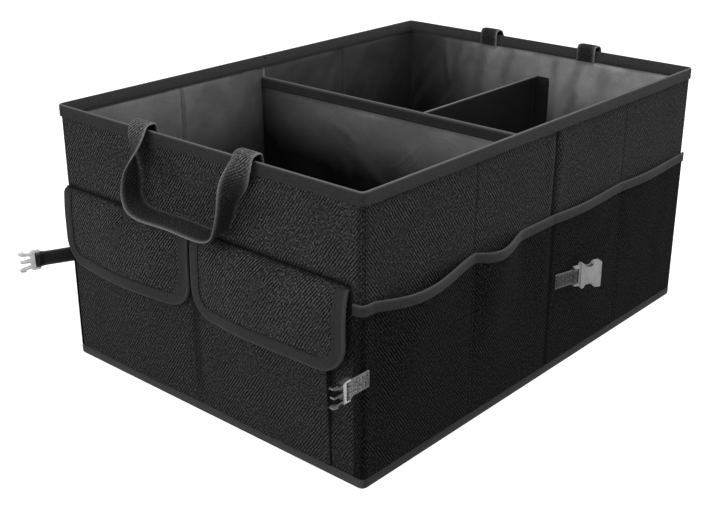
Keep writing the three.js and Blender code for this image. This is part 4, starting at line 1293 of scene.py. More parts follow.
def pocket_lift(x):
    """How far the front pocket cloth stands off the wall at the mouth, across the front."""
    stand = bpy.context.scene.organizer_sizes.pocket_stand
    middle = (POCKET_SPLIT + POCKET_RIGHT) / 2
    near = stand * hump(x, POCKET_LEFT, POCKET_SPLIT)
    rising = stand * hump(x, POCKET_SPLIT, 2 * middle - POCKET_SPLIT)
    open_side = stand + (5.7 * MM - stand) * smooth(x, middle, POCKET_RIGHT)
    return np.where(x <= POCKET_SPLIT, near, np.where(x <= middle, rising, open_side))


def pocket_offset(x, z):
    s = bpy.context.scene.organizer_sizes
    rise = 0.15 + 0.85 * smooth(z, s.base_rise + FIT, s.pocket_mouth)
    gusset = 1 - smooth(x, POCKET_TURN, POCKET_RIGHT)
    return PANEL + pocket_lift(x) * rise * gusset


def front_point(x, offset, z):
    return spread(x, -bpy.context.scene.organizer_sizes.length / 2 - offset, z)


class ORGANIZER_OT_front_pockets(bpy.types.Operator):
    """The two front pockets, sewn from one panel, with the tape on their mouth and their loop patches"""

    bl_idname = "organizer.front_pockets"
    bl_label = "Front pockets"

    def execute(self, context):
        s = context.scene.organizer_sizes
        left, split, right, turn = POCKET_LEFT, POCKET_SPLIT, POCKET_RIGHT, POCKET_TURN
        edge = [155.1 * MM, 155.4 * MM, 155.7 * MM, right]
        x = np.concatenate([np.linspace(left, split, 70), np.linspace(split, turn, 66)[1:], edge])
        z = np.linspace(s.base_rise + FIT, s.pocket_mouth - TAPE - FIT, 54)
        gx, gz = x[:, None], z[None, :]
        free = smooth(gz, 14 * MM, 34 * MM) * (hump(gx, left, split) + hump(gx, split, right))
        soft = 0.3 * MM * (unevenness(gx, gz, 21, 55 * MM) + 0.8) * free + folds(gx, gz, POCKET_FOLDS)
        offset = pocket_offset(gx, gz) + soft - 0.25 * MM * ridge(gx, split, 1.4 * MM)
        # The whole panel is a little darker; painted shade along the middle seam, beside it and on the open side
        # face
        seam = 0.9 * ridge(gx, split, 2.2 * MM) * needle_dots(gz)
        crease = np.maximum(seam, smooth(gx, 154.6 * MM, 155.2 * MM))
        crease = np.maximum(crease, 0.3 + 0.6 * ridge(gx, split, 5 * MM) * smooth(gz, s.base_rise, 40 * MM))
        panel = cloth_object(
            "front_pocket_cloth",
            front_point(gx, offset, gz),
            front_point(gx, offset - CLOTH, gz),
            crease=crease,
        )
        finish_piece(panel, "twill_front", ["front_pocket_panel"])

        tx = x[x <= 154.9 * MM][:, None]
        top = s.pocket_mouth
        profile = folded_edge(FIT + TAPE, -CLOTH, top - 10.5 * MM, top - 1.2 * MM, top, 1.0 * MM, 8)

        def section(line):
            return front_point(tx, pocket_offset(tx, line[:, 1]) + line[:, 0], line[:, 1])

        tape = cloth_object("front_pocket_tape_cloth", section(profile), section(shifted(profile, TAPE)))
        finish_piece(tape, "binding_tape", ["front_pocket_tape"])

        for name, centre in (("left", LEFT_PATCH), ("right", RIGHT_PATCH)):
            px, pz = centre + PATCH_ACROSS, s.flap_foot + PATCH_UP
            back = pocket_offset(px, pz) + FIT
            face = front_point(px, back + PATCH_THICK, pz)
            patch = cloth_object(f"loop_patch_{name}", face, front_point(px, back, pz))
            finish_piece(patch, "grip_pile", [f"pocket_{name}_loop_patch"])
        z = np.linspace(s.base_rise + 3 * MM, s.pocket_mouth - 12 * MM, 60)
        line = front_point(split, pocket_offset(split, z) - 0.2 * MM, z)
        stitching("seam_threads_front_pockets", [(line, (0.0, -1.0, 0.0))])
        return {"FINISHED"}


def flap_offset(x, z):
    """Inner face of a flap: sewn to the wall at its seam, then standing over the pocket."""
    s = bpy.context.scene.organizer_sizes
    depth = s.flap_seam - z
    clear = CLOTH + FIT + TAPE
    lift = pocket_lift(x) * (1 - 0.5 * smooth(x, POCKET_RIGHT, FLAP_RIGHT_HIGH.x + 1.2 * MM))
    room = 4.3 * MM - clear + lift
    risen = np.sin(pi / 2 * np.clip(depth / (30 * MM), 0, 1))
    return FIT + clear * smooth(depth, 0, 5 * MM) + room * risen


class ORGANIZER_OT_flaps(bpy.types.Operator):
    """The two front flaps, with their edge tapes and hook patches"""

    bl_idname = "organizer.flaps"
    bl_label = "Front flaps"

    def execute(self, context):
        grown = 1.2 * MM
        self.add_flap("left", FLAP_LEFT_LOW.x - grown, FLAP_LEFT_HIGH.x + grown, LEFT_PATCH)
        self.add_flap("right", FLAP_RIGHT_LOW.x - grown, FLAP_RIGHT_HIGH.x + grown, RIGHT_PATCH)
        return {"FINISHED"}

    def add_flap(self, name, left_x, right_x, patch_x):
        s = bpy.context.scene.organizer_sizes
        body, thick = f"{name}_flap", 1.6 * MM
        edge = FIT + TAPE
        left, right, foot, radius = left_x + edge, right_x - edge, s.flap_foot + edge, s.flap_corner - edge
        bend = radius * (1 - np.cos(np.radians([0, 8, 16, 25, 35, 45, 55, 65, 78, 90])))
        flat = np.linspace(left + radius, right - radius, 46)[1:-1]
        x = np.concatenate([left + bend, flat, (right - bend)[::-1]])
        reach = np.maximum(0, np.maximum(left + radius - x, x - right + radius))
        foot_z = foot + radius - np.sqrt(np.maximum(0, radius**2 - reach**2))
        t = np.linspace(0, 1, 44) ** 1.25
        gz = s.flap_seam + (foot_z[:, None] - s.flap_seam) * t[None, :]
        gx = x[:, None]
        inside = smooth(gx - left, 6 * MM, 30 * MM) * smooth(right - gx, 6 * MM, 30 * MM)
        inside = inside * smooth(gz - foot, 6 * MM, 26 * MM) * smooth(s.flap_seam - gz, 3 * MM, 14 * MM)
        crown = 0.45 * MM * (unevenness(gx, gz, 61 + len(name), 60 * MM) + 1.1) * inside
        plain = flap_offset(gx, gz)
        panel = cloth_object(
            f"flap_cloth_{name}",
            front_point(gx, plain + crown + thick, gz),
            front_point(gx, plain, gz),
            # Painted shade under the flap's seam
            crease=0.9 * ridge(s.flap_seam - gz, 0, 1.6 * MM),
        )
        finish_piece(panel, "twill_front", [f"flap_{name}"], body)

        px, pz, ix, iz = (part[:, None] for part in np.array(self.edge_path(left, right, foot, radius)).T)
        outer_line, inner_line = (self.tape_profile(s.flap_tape, thick, grow) for grow in (1.0 * MM, 0.2 * MM))

        def section(line):
            at_x, at_z = px + ix * line[:, 0], pz + iz * line[:, 0]
            return front_point(at_x, flap_offset(at_x, at_z) + thick / 2 + line[:, 1], at_z)

        # Painted highlight along the tape's folded edge
        worn = 0.18 * ridge(outer_line[:, 0], -0.8 * MM, 1.0 * MM)
        tape = cloth_object(f"flap_tape_cloth_{name}", section(outer_line), section(inner_line), worn=worn)
        finish_piece(tape, "binding_tape", [f"flap_{name}_tape"], body)

        line = section(np.array([(s.flap_tape - 2.2 * MM, outer_line[0, 1])]))[:, 0]
        lower = line + (0, 2 * outer_line[0, 1], 0)
        rows = [(line, (0.0, -1.0, 0.0)), (lower, (0.0, 1.0, 0.0))]

        px, pz = patch_x + PATCH_ACROSS, s.flap_foot + PATCH_UP
        back = flap_offset(px, pz) - FIT
        face = front_point(px, back - PATCH_THICK, pz)
        patch = cloth_object(f"hook_patch_{name}", face, front_point(px, back, pz))
        finish_piece(patch, "grip_pile", [f"flap_{name}_hook_patch"], body)
        stitching(f"seam_threads_flap_{name}", rows, body)

    def tape_profile(self, wide, thick, grow):
        """The line of a flap's edge tape, from its outer edge round the flap's edge and back."""
        half = thick / 2 + grow
        steps = [k * wide / 5 for k in range(6)]
        arc = np.radians(np.linspace(-90, 90, 9))
        nose = [(-grow * 0.2 - grow * 0.8 * cos(a), half * -sin(a) * 0.999) for a in arc]
        return np.array([(wide - k, half) for k in steps] + nose + [(k, -half) for k in steps])

    def edge_path(self, left, right, foot, radius):
        """Places round the free edges of a flap, with the direction inwards."""
        s = bpy.context.scene.organizer_sizes
        top = s.flap_seam - 2 * MM
        path = [(left, z, 1.0, 0.0) for z in np.linspace(top, foot + radius, 18)[:-1]]
        for a in np.radians(np.linspace(180, 270, 14)):
            path.append((left + radius + radius * cos(a), foot + radius + radius * sin(a), -cos(a), -sin(a)))
        path += [(x, foot, 0.0, 1.0) for x in np.linspace(left + radius, right - radius, 46)[1:-1]]
        for a in np.radians(np.linspace(270, 360, 14)):
            path.append((right - radius + radius * cos(a), foot + radius + radius * sin(a), -cos(a), -sin(a)))
        path += [(right, z, -1.0, 0.0) for z in np.linspace(foot + radius, top, 18)[1:]]
        return path


BAYS = (
    (-250.6 * MM, FRONT_SEAM, 9 * MM, 5 * MM),
    (FRONT_SEAM, -46 * MM, 8 * MM, 4 * MM),
    (6 * MM, REAR_SEAM, 2 * MM, 1 * MM),
    (REAR_SEAM, 250.6 * MM, 2 * MM, 1 * MM),
)


def fullness(y, start, end):
    """0 at both seams of a side pocket and 1 where it is fullest, which is nearer its front."""
    t = np.clip((y - start) / (end - start), 0, 1)
    return np.sin(pi * t**0.8) ** 1.4


def side_lift(y, z):
    s = bpy.context.scene.organizer_sizes
    rise = smooth(z, s.base_rise + FIT, s.side_mouth) ** 1.3
    return sum(stand * fullness(y, a, b) for a, b, stand, _ in BAYS) * rise


def mouth_height(y):
    s = bpy.context.scene.organizer_sizes
    return s.side_mouth - sum(sag * fullness(y, a, b) for a, b, _, sag in BAYS)


class ORGANIZER_OT_side_pockets(bpy.types.Operator):
    """A row of four open pockets on each long wall, with the tape on their mouths"""

    bl_idname = "organizer.side_pockets"
    bl_label = "Side pockets"

    def execute(self, context):
        for name, side in (("right", 1), ("left", -1)):
            self.add_row(name, side)
        return {"FINISHED"}

    def stations(self, side):
        """Points and directions along a long wall. Those of the right one start on the front wall."""
        s = bpy.context.scene.organizer_sizes
        hw, hl, r = s.width / 2, s.length / 2, s.corner
        points, normals = [], []
        if side > 0:
            for x in np.linspace(hw - 9 * MM, hw - r, 3)[:-1]:
                points.append((x, -hl))
                normals.append((0.0, -1.0))

        def turn(end, angles):
            for a in np.radians(angles):
                out = squared(a)
                points.append((side * (hw - r + r * out[0]), end * (hl - r) + r * out[1]))
                normals.append((side * out[0], out[1]))

        turn(-1, np.linspace(-90 if side > 0 else -45, 0, 10))
        for y in placed(-hl + r, hl - r, (FRONT_SEAM, s.fold, REAR_SEAM), 2 * MM, 4 * MM):
            points.append((side * hw, y))
            normals.append((side, 0.0))
        turn(1, np.linspace(0, 45, 6))
        return np.array(points), np.array(normals)

    def add_row(self, name, side):
        s = bpy.context.scene.organizer_sizes
        points, normals = self.stations(side)
        y = points[:, 1][:, None]
        low = s.base_rise + FIT
        t = np.linspace(0, 1, 64)[None, :]
        top = mouth_height(y) - TAPE - FIT
        z = low + (top - low) * t
        seams = sum(ridge(y, seam, 1.5 * MM) for seam in (FRONT_SEAM, s.fold, REAR_SEAM))
        free = np.clip(1 - 1.4 * sum(ridge(y, seam, 7 * MM) for seam in (FRONT_SEAM, s.fold, REAR_SEAM)), 0, 1)
        free = free * smooth(s.length / 2 - np.abs(y), 8 * MM, 24 * MM) * smooth(z, low, low + 18 * MM)
        soft = (0.3 * MM * (unevenness(y, z, 71 + side, 70 * MM) + 0.8) + folds(y, z, SIDE_FOLDS)) * free
        offset = PANEL + side_lift(y, z) + soft - 0.25 * MM * seams
        fold_in = ridge(y, s.fold, 2.4 * MM)
        sewn = (ridge(y, FRONT_SEAM, 2.0 * MM) + ridge(y, REAR_SEAM, 2.0 * MM)) * needle_dots(z)
        corner = points - (side * (s.width / 2 - 1.8 * MM), 1.8 * MM - s.length / 2)
        corner = ridge(np.hypot(corner[:, :1], corner[:, 1:]), 0, 2.2 * MM)
        panel = cloth_object(
            f"side_pocket_cloth_{name}",
            raise_wall(points, normals, z, offset),
            raise_wall(points, normals, z, offset - CLOTH),
            # Painted shade in the fold, the seams and the corner seam
            crease=np.maximum(np.clip(sewn + 1.1 * fold_in, 0, 1), 0.9 * corner * needle_dots(z)),
        )
        finish_piece(panel, "twill_pocket", [f"side_pocket_{name}_panel"])

        edge = folded_edge(FIT + TAPE, -CLOTH, -s.side_tape, -1.4 * MM, 0.0, 1.0 * MM, 8)

        def section(line):
            heights = mouth_height(y) + line[:, 1]
            offset = PANEL + side_lift(y, heights) + line[:, 0] - 0.15 * MM * seams
            return raise_wall(points, normals, heights, offset)

        tape = cloth_object(
            f"side_pocket_tape_cloth_{name}",
            section(edge),
            section(shifted(edge, TAPE)),
            # Painted highlight along the top of the tape, and painted shade at the fold
            worn=0.2 * ridge(edge[:, 1], 0, 1.2 * MM),
            crease=0.9 * fold_in,
        )
        finish_piece(tape, "binding_tape", [f"side_pocket_{name}_tape"])

        heights = mouth_height(y) - s.side_tape + 2.2 * MM
        line = raise_wall(points, normals, heights, PANEL + side_lift(y, heights) + FIT + TAPE)[:, 0]
        rows = [(line, spread(normals[:, 0], normals[:, 1], 0))]
        z = np.linspace(s.base_rise + 3 * MM, s.side_mouth - 2 * MM, 60)
        lift = np.where(z > s.side_mouth - s.side_tape, FIT + TAPE, 0) + PANEL - 0.2 * MM
        rows += [(spread(side * (s.width / 2 + lift), seam, z), (side, 0.0, 0.0)) for seam in SEAMS]
        stitching(f"seam_threads_side_{name}", rows)


def ribbon(name, line, across, width, thick, columns=11, crease=0.0):
    """Flat webbing along a line. across gives the direction of its width at each point."""
    ahead = unit(np.gradient(line, axis=0))
    wide = unit(across - ahead * np.sum(across * ahead, axis=1)[:, None])
    face = np.cross(ahead, wide)
    t = np.sin(np.linspace(-pi / 2, pi / 2, columns))
    full = (1 - np.abs(t) ** 6) ** 0.5 * 0.86 + 0.14
    middle = line[:, None, :] + wide[:, None, :] * (t * width / 2)[None, :, None]
    half = face[:, None, :] * (full * thick / 2)[None, :, None]
    # Painted highlight along both edges of the webbing, and painted shade from the crease values elsewhere
    worn = 0.75 * np.abs(t) ** 9
    painted_shade = np.broadcast_to(crease, len(line))[:, None] * (1 - worn)
    return cloth_object(name, middle + half, middle - half, crease=painted_shade, worn=worn)


# Where the handle's webbing is sewn, and how far its loop hangs to one side
HANDLE_ROOT, HANDLE_SWAY = 66 * MM, -12.5 * MM


class ORGANIZER_OT_handles(bpy.types.Operator):
    """The two carrying handles: webbing that is sewn inside the rim, arches over it and hangs in a loop"""

    bl_idname = "organizer.handles"
    bl_label = "Handles"

    def execute(self, context):
        self.add_handle("front", 1)
        self.add_handle("back", -1)
        return {"FINISHED"}

    def path(self):
        s = bpy.context.scene.organizer_sizes
        hl, thick = s.length / 2, s.handle_thick
        arch_y, arch_z = -hl + WALL_DEPTH / 2, s.height + 5.5 * MM
        inner_y = -hl + WALL_DEPTH + FIT + TAPE + FIT + thick / 2
        leg_y = -hl - FIT - TAPE - 7 * MM
        loop_y = -hl - (FIT + TAPE) * 2 - s.handle_width / 2
        foot_z = s.flap_seam + 7.5 * MM
        root, sway, half, turn = HANDLE_ROOT, HANDLE_SWAY, 59 * MM, 15 * MM

        def leg(sign):
            foot, x = sign * half + sway, sign * root
            return [
                (x, inner_y, s.height - s.rim_drop),
                (x, inner_y, s.height - 6 * MM),
                (x, inner_y, arch_z - 6 * MM),
                (x, arch_y + (inner_y - arch_y) * 0.7, arch_z - 1 * MM),
                (x, arch_y, arch_z),
                (x, arch_y + (leg_y - arch_y) * 0.6, arch_z - 1.5 * MM),
                (x, leg_y, arch_z - 10 * MM),
                (x + (foot - x) * 0.38, leg_y + (loop_y - leg_y) * 0.8, arch_z - 32 * MM),
                (foot + (x - foot) * 0.33, loop_y, foot_z + 2 * turn),
                (foot + (x - foot) * 0.08, loop_y, foot_z + turn),
                (foot - sign * turn * 0.3, loop_y, foot_z + turn * 0.3),
                (foot - sign * turn, loop_y, foot_z),
            ]
        points = leg(-1) + [(sway, loop_y, foot_z)] + leg(1)[::-1]
        return evenly(spline(points, 14), 2.0 * MM), arch_y, arch_z

    def add_handle(self, name, facing):
        s = bpy.context.scene.organizer_sizes
        line, arch_y, arch_z = self.path()
        turned = pi / 2 * (1 - smooth(line[:, 2], arch_z - 54 * MM, arch_z - 2 * MM))
        turned = np.where(line[:, 1] > arch_y, 0, turned)
        swing = np.where(line[:, 0] < HANDLE_SWAY, turned, pi - turned)
        across = np.stack([np.cos(swing), -np.sin(swing), -np.sin(swing) * tan(radians(12))], 1)
        line = line * [facing, facing, 1]
        across = across * [facing, facing, 1]
        # Painted shade on both handles, apart from the front handle's crown
        light = smooth(line[:, 2], arch_z - 26 * MM, arch_z - 3 * MM) * (line[:, 1] * facing < arch_y + 3 * MM)
        painted_shade = 1.0 - (0.85 if facing > 0 else 0.0) * light
        obj = ribbon(f"handle_webbing_{name}", line, across, s.handle_width, s.handle_thick, crease=painted_shade)
        dress(obj, "handle_twill")
        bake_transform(obj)
        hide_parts(f"handle_{name}_loop", f"handle_{name}_sewn_end_left", f"handle_{name}_sewn_end_right")
        rows = []
        inner_y = -s.length / 2 + WALL_DEPTH + FIT + TAPE + FIT + s.handle_thick
        for sign in (-1, 1):
            x, z = sign * HANDLE_ROOT, s.height - s.rim_drop
            hx, low, high = 9.0 * MM, z + 1.8 * MM, z + 9.5 * MM
            corners = [(x - hx, low), (x + hx, low), (x + hx, high), (x - hx, high), (x - hx, low)]
            crossing = [(corners[0], corners[2]), (corners[1], corners[3])]
            for (ax, az), (bx, bz) in [*zip(corners, corners[1:]), *crossing]:
                t = np.linspace(0, 1, 8)
                seam = spread(ax + (bx - ax) * t, inner_y, az + (bz - az) * t)
                rows.append((seam * [facing, facing, 1], (0.0, facing, 0.0)))
        stitching(f"seam_threads_handle_{name}", rows, pitch=2.6 * MM)


# Name, node, side, heading along it, place and height of the root, angle and length to the buckle's bar, in mm
STRAPS = (
    ("front_right", "strap_front_right", 1, -1, -258.5, 103.0, 0.0, 25.0),
    ("front_left", "strap_front_left", -1, -1, -258.5, 106.0, 24.0, 37.0),
    ("middle_right", "strap_middle_right", 1, 1, 14.0, 96.0, 14.0, 26.0),
    ("middle_left", "strap_middle_left", -1, 1, 14.0, 96.0, 14.0, 26.0),
)


class ORGANIZER_OT_straps(bpy.types.Operator):
    """Four short straps of doubled webbing, each looped round the bar of its buckle"""

    bl_idname = "organizer.straps"
    bl_label = "Straps"

    def execute(self, context):
        s = context.scene.organizer_sizes
        for name, node, side, heading, root_y, z, swing, reach in STRAPS:
            root_x = side * (s.width / 2 + PANEL + FIT)
            frame_at = ((0, side, 0, root_x), (heading, 0, 0, root_y * MM), (0, 0, 1, z * MM), (0, 0, 0, 1))
            place_at = Matrix(frame_at) @ Matrix.Rotation(radians(swing), 4, "Z")
            m, n = reach, 0.7
            flat = [(0, 1.08), (m / 2 - 2, 1.1), (m - 6.2, 1.1), (m - 4.2, 1.7), (m - 2.0, n + 2.2)]
            flat += [(m, n + 2.62), (m + 1.85, n + 1.85), (m + 2.62, n), (m + 1.85, n - 1.85), (m, n - 2.62)]
            flat += [(m - 2.0, n - 2.2), (m - 4.2, -0.3), (m - 6.2, 0.3), (m / 2 - 2, 0.3), (0, 0.32)]
            line = evenly(spline([(x * MM, y * MM, 0.0) for x, y in flat], 10), 0.7 * MM)
            across = np.tile([0.0, 0.0, 1.0], (len(line), 1))
            obj = ribbon(f"strap_webbing_{name}", line, across, s.strap_width, 0.66 * MM, 9)
            obj.data.transform(place_at)
            if place_at.determinant() < 0:
                face_out(obj.data)
            # The front left strap takes the near black copy: painted shade
            tone = {"front_right": "light_webbing", "front_left": "black_webbing"}.get(name, "grey_webbing")
            finish_piece(obj, tone, [node], f"{name}_strap")
            rows = []
            faces = [(1.46, 1)] if name.startswith("middle") else [(1.46, 1), (0.7, -1)]
            for x in (2.0, 4.4):
                zz = np.linspace(-5.6, 5.6, 6) * MM
                for y, sign in faces:
                    seam = [place_at @ Vector((x * MM, y * MM, h)) for h in zz]
                    out = place_at.to_3x3() @ Vector((0, sign, 0))
                    rows.append((np.array(seam), out))
            stitching(f"seam_threads_strap_{name}", rows, f"{name}_strap", 2.4 * MM, 0.5 * MM)
        return {"FINISHED"}


class ORGANIZER_OT_buckles(bpy.types.Operator):
    """Moulded side-release buckles, with their edges rounded"""

    bl_idname = "organizer.buckles"
    bl_label = "Buckles"

    def execute(self, context):
        for name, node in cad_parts.items():
            if name.startswith("buckle_"):
                weld = node.modifiers.new("Weld", "WELD")
                weld.merge_threshold = 0.01 * MM
                rounding = node.modifiers.new("Rounded edges", "BEVEL")
                rounding.width = 0.38 * MM
                rounding.segments = 3
                rounding.limit_method = "ANGLE"
                rounding.angle_limit = radians(32)
                rounding.harden_normals = True
                node.data.shade_smooth()
                # The left male buckle takes the lighter copy of the nylon: painted reflection
                tone = {"buckle_male_right": "dark_nylon", "buckle_male_left": "pale_nylon"}
                dress(node, tone.get(name, "buckle_nylon"))
        return {"FINISHED"}


class ORGANIZER_OT_cross_divider(bpy.types.Operator):
    """The sewn divider at the fold: wrinkled cloth on both faces and a tape over its top"""

    bl_idname = "organizer.cross_divider"
    bl_label = "Cross divider"

    def execute(self, context):
        s = context.scene.organizer_sizes
        reach = s.width / 2 - WALL_DEPTH - FIT
        half, inside = 2.3 * MM, 1.5 * MM
        floor, top = FLOOR_TOP + FIT, s.cross_top - TAPE - FIT
        x = np.linspace(-reach, reach, 130)
        z = np.linspace(floor, top, 80)
        gx, gz = x[:, None], z[None, :]
        for name, sign, seed in (("front", -1, 83), ("rear", 1, 89)):
            soft = 0.4 * MM * (unevenness(gx, gz, seed, 75 * MM) + 1.1)
            pick = np.random.default_rng(seed)
            for _ in range(22):
                u0, z0 = pick.uniform(-0.9, 0.95) * reach, pick.uniform(0.35, 0.93) * s.height
                lean = radians(pick.uniform(25, 75)) * pick.choice([1, 1, 1, -1])
                span = pick.uniform(30, 90) * MM
                end = u0 + span * cos(lean), z0 - span * abs(sin(lean))
                thick, high = pick.uniform(2.5, 7) * MM, pick.uniform(0.4, 1.2) * MM
                soft = soft + fold(gx, gz, (u0, z0), end, thick, high)
            edge = smooth(reach - np.abs(gx), 1 * MM, 22 * MM) * smooth(gz, floor, floor + 16 * MM)
            edge = edge * (1 - smooth(gz, s.cross_top - 17 * MM, s.cross_top - 11 * MM))
            if sign > 0:
                edge = edge * clear_of_divider(gx)
            soft = np.clip(soft * edge * s.wrinkles, 0, 3.5 * MM)
            # Painted shade on the slopes of the folds, and the lining's painted shade with 0.15 more all over
            slope = np.clip(-4.0 * np.gradient(soft, axis=0) / np.gradient(x)[:, None], 0, 0.5)
            obj = cloth_object(
                f"cross_divider_cloth_{name}",
                spread(gx, sign * (half + soft), gz),
                spread(gx, sign * inside, gz),
                crease=over(slope, lining_shade(gx, sign * 2 * MM, gz) + 0.15),
            )
            finish_piece(obj, "satin_lining", [f"cross_divider_{name}_cloth"])

        edge = half + FIT + TAPE
        profile = folded_edge(edge, -edge, s.cross_top - 11 * MM, s.cross_top - 11 * MM, s.cross_top, 2.4 * MM)
        inner = shifted(profile, TAPE)
        xs = np.linspace(-reach, reach, 90)
        def section(line):
            sway = 0.15 * MM * unevenness(xs[:, None], np.zeros(len(line)), 33, 60 * MM)
            return spread(xs[:, None], -line[:, 0], line[:, 1] + sway * (line[:, 1] < s.cross_top - 5 * MM))

        # Painted highlight along the top of the tape
        worn = 0.3 * ridge(profile[:, 0], 0, 2.0 * MM) * (profile[:, 1] > s.cross_top - 1.5 * MM)
        tape = cloth_object("cross_divider_tape_cloth", section(profile), section(inner), worn=worn)
        finish_piece(tape, "binding_tape", ["cross_divider_tape"])
        rows = [(spread(xs, sign * edge, s.cross_top - 8.7 * MM), (0.0, sign, 0.0)) for sign in (-1, 1)]
        stitching("seam_threads_cross_divider", rows)
        self.add_grip_strips()
        return {"FINISHED"}

    def add_grip_strips(self):
        for node in ("cross_divider_grip_strip", "back_wall_grip_strip"):
            low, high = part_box(node)
            x = np.linspace(low.x, high.x, 10)[:, None]
            z = np.linspace(low.z, high.z, 90)[None, :]
            obj = cloth_object(f"{node}_pile", spread(x, low.y, z), spread(x, high.y, z))
            finish_piece(obj, "grip_pile", [node])


class ORGANIZER_OT_long_divider(bpy.types.Operator):
    """The divider that lifts out: cloth folded over a board, with a grip tab at each end"""

    bl_idname = "organizer.long_divider"
    bl_label = "Long divider"

    def execute(self, context):
        low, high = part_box("long_divider_cover")
        middle, half = (low.x + high.x) / 2, (high.x - low.x) / 2
        y = np.linspace(low.y, high.y, 60)
        profile = folded_edge(half, -half, low.z, low.z, high.z, 1.6 * MM)
        fine = [np.linspace(a, b, 5)[:-1] for a, b in zip(profile, profile[1:])]
        profile = np.concatenate([*fine, [profile[-1]]])
        inner = shifted(profile, 0.8 * MM)
        bow = 0.35 * MM * unevenness(y[:, None], profile[None, :, 1], 17, 90 * MM)
        up = profile[None, :, 1]
        bow = bow * smooth(high.z - up, 2 * MM, 30 * MM) * smooth(up - low.z, 0, 20 * MM)
        ends = smooth(np.minimum(y - low.y, high.y - y), 0, 16 * MM)[:, None]
        bow = np.abs(bow) * np.sign(profile[None, :, 0]) * ends

        def section(line):
            return spread(middle + line[:, 0] + bow, y[:, None], line[:, 1])

        # Painted highlight along the top fold of the cover
        worn = 0.75 * ridge(profile[:, 0], 0, 1.3 * MM) * (profile[:, 1] > high.z - 1.0 * MM)
        cover = cloth_object("long_divider_cloth", section(profile), section(inner), worn=worn)
        finish_piece(cover, "divider_cloth", ["long_divider_cover"], "lift_out_divider")
        rows = []
        for sign in (-1, 1):
            for at_y in (low.y + 4 * MM, high.y - 4 * MM):
                z = np.linspace(low.z + 6 * MM, high.z - 4 * MM, 50)
                rows.append((spread(middle + sign * half, at_y, z), (sign, 0.0, 0.0)))
        for end, inwards in (("front", 1), ("rear", -1)):
            rows += self.add_tab(end, inwards, middle + half + FIT)
        stitching("seam_threads_long_divider", rows, "lift_out_divider")
        return {"FINISHED"}

    def add_tab(self, end, inwards, x):
        low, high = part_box(f"long_divider_tab_{end}")
        y = low.y if inwards > 0 else high.y
        tab, bend, thick = 14 * MM, 1.6 * MM, 0.8 * MM
        flat = [(px, y) for px in np.linspace(high.x, x + bend, 8)[:-1]]
        for a in np.radians(np.linspace(0, 90, 6)):
            flat.append((x + bend - bend * sin(a), y + inwards * (bend - bend * cos(a))))
        flat += [(x, y + inwards * d) for d in np.linspace(bend, tab, 8)[1:]]
        outer = np.array(flat)
        inner = shifted(outer, -inwards * thick)
        z = np.linspace(low.z, high.z + 3.6 * MM, 60)
        def face(line):
            return spread(line[:, :1], line[:, 1:], z)

        obj = cloth_object(f"long_divider_tab_cloth_{end}", face(outer), face(inner))
        finish_piece(obj, "divider_cloth", [f"long_divider_tab_{end}"], "lift_out_divider")
        line = spread(x + thick, y + inwards * (tab - 2.2 * MM), z)
        return [(line[4:-3], (1.0, 0.0, 0.0))]


CAMERA_PLACE = (0.73374, -0.88556, 0.55190)
CAMERA_DOWN, CAMERA_TURN = radians(67.565), radians(41.286)
FLOOR_REACH, FLOOR_LEVEL = 8.0, -0.6 * MM

# Where each lamp is and what it is aimed at, and its size, in metres
LAMPS = {
    "overhead": ((0.38, -0.12, 1.15), (0.0, 0.05, 0.15), 0.45),
    "front": ((-0.35, -2.3, 1.15), (0.0, 0.0, 0.12), 1.6),
    "back": ((0.3, 2.3, 1.15), (0.0, 0.0, 0.12), 1.6),
    "side": ((2.2, 0.5, 1.0), (0.0, 0.0, 0.12), 1.4),
}


def split_by_ray(tree, end, lit, seen):
    """Shows seen to the camera, straight or by way of a glossy or clear surface, and lights the rest with lit."""
    rays = add_node(tree, "ShaderNodeLightPath").outputs
    mirrored = maths(tree, "MAXIMUM", rays["Is Glossy Ray"], rays["Is Transmission Ray"])
    share = maths(tree, "MAXIMUM", rays["Is Camera Ray"], mirrored)
    chosen = add_node(tree, "ShaderNodeMixShader", {0: share, 1: lit.outputs[0], 2: seen.outputs[0]})
    tree.links.new(chosen.outputs[0], tree.nodes[end].inputs["Surface"])


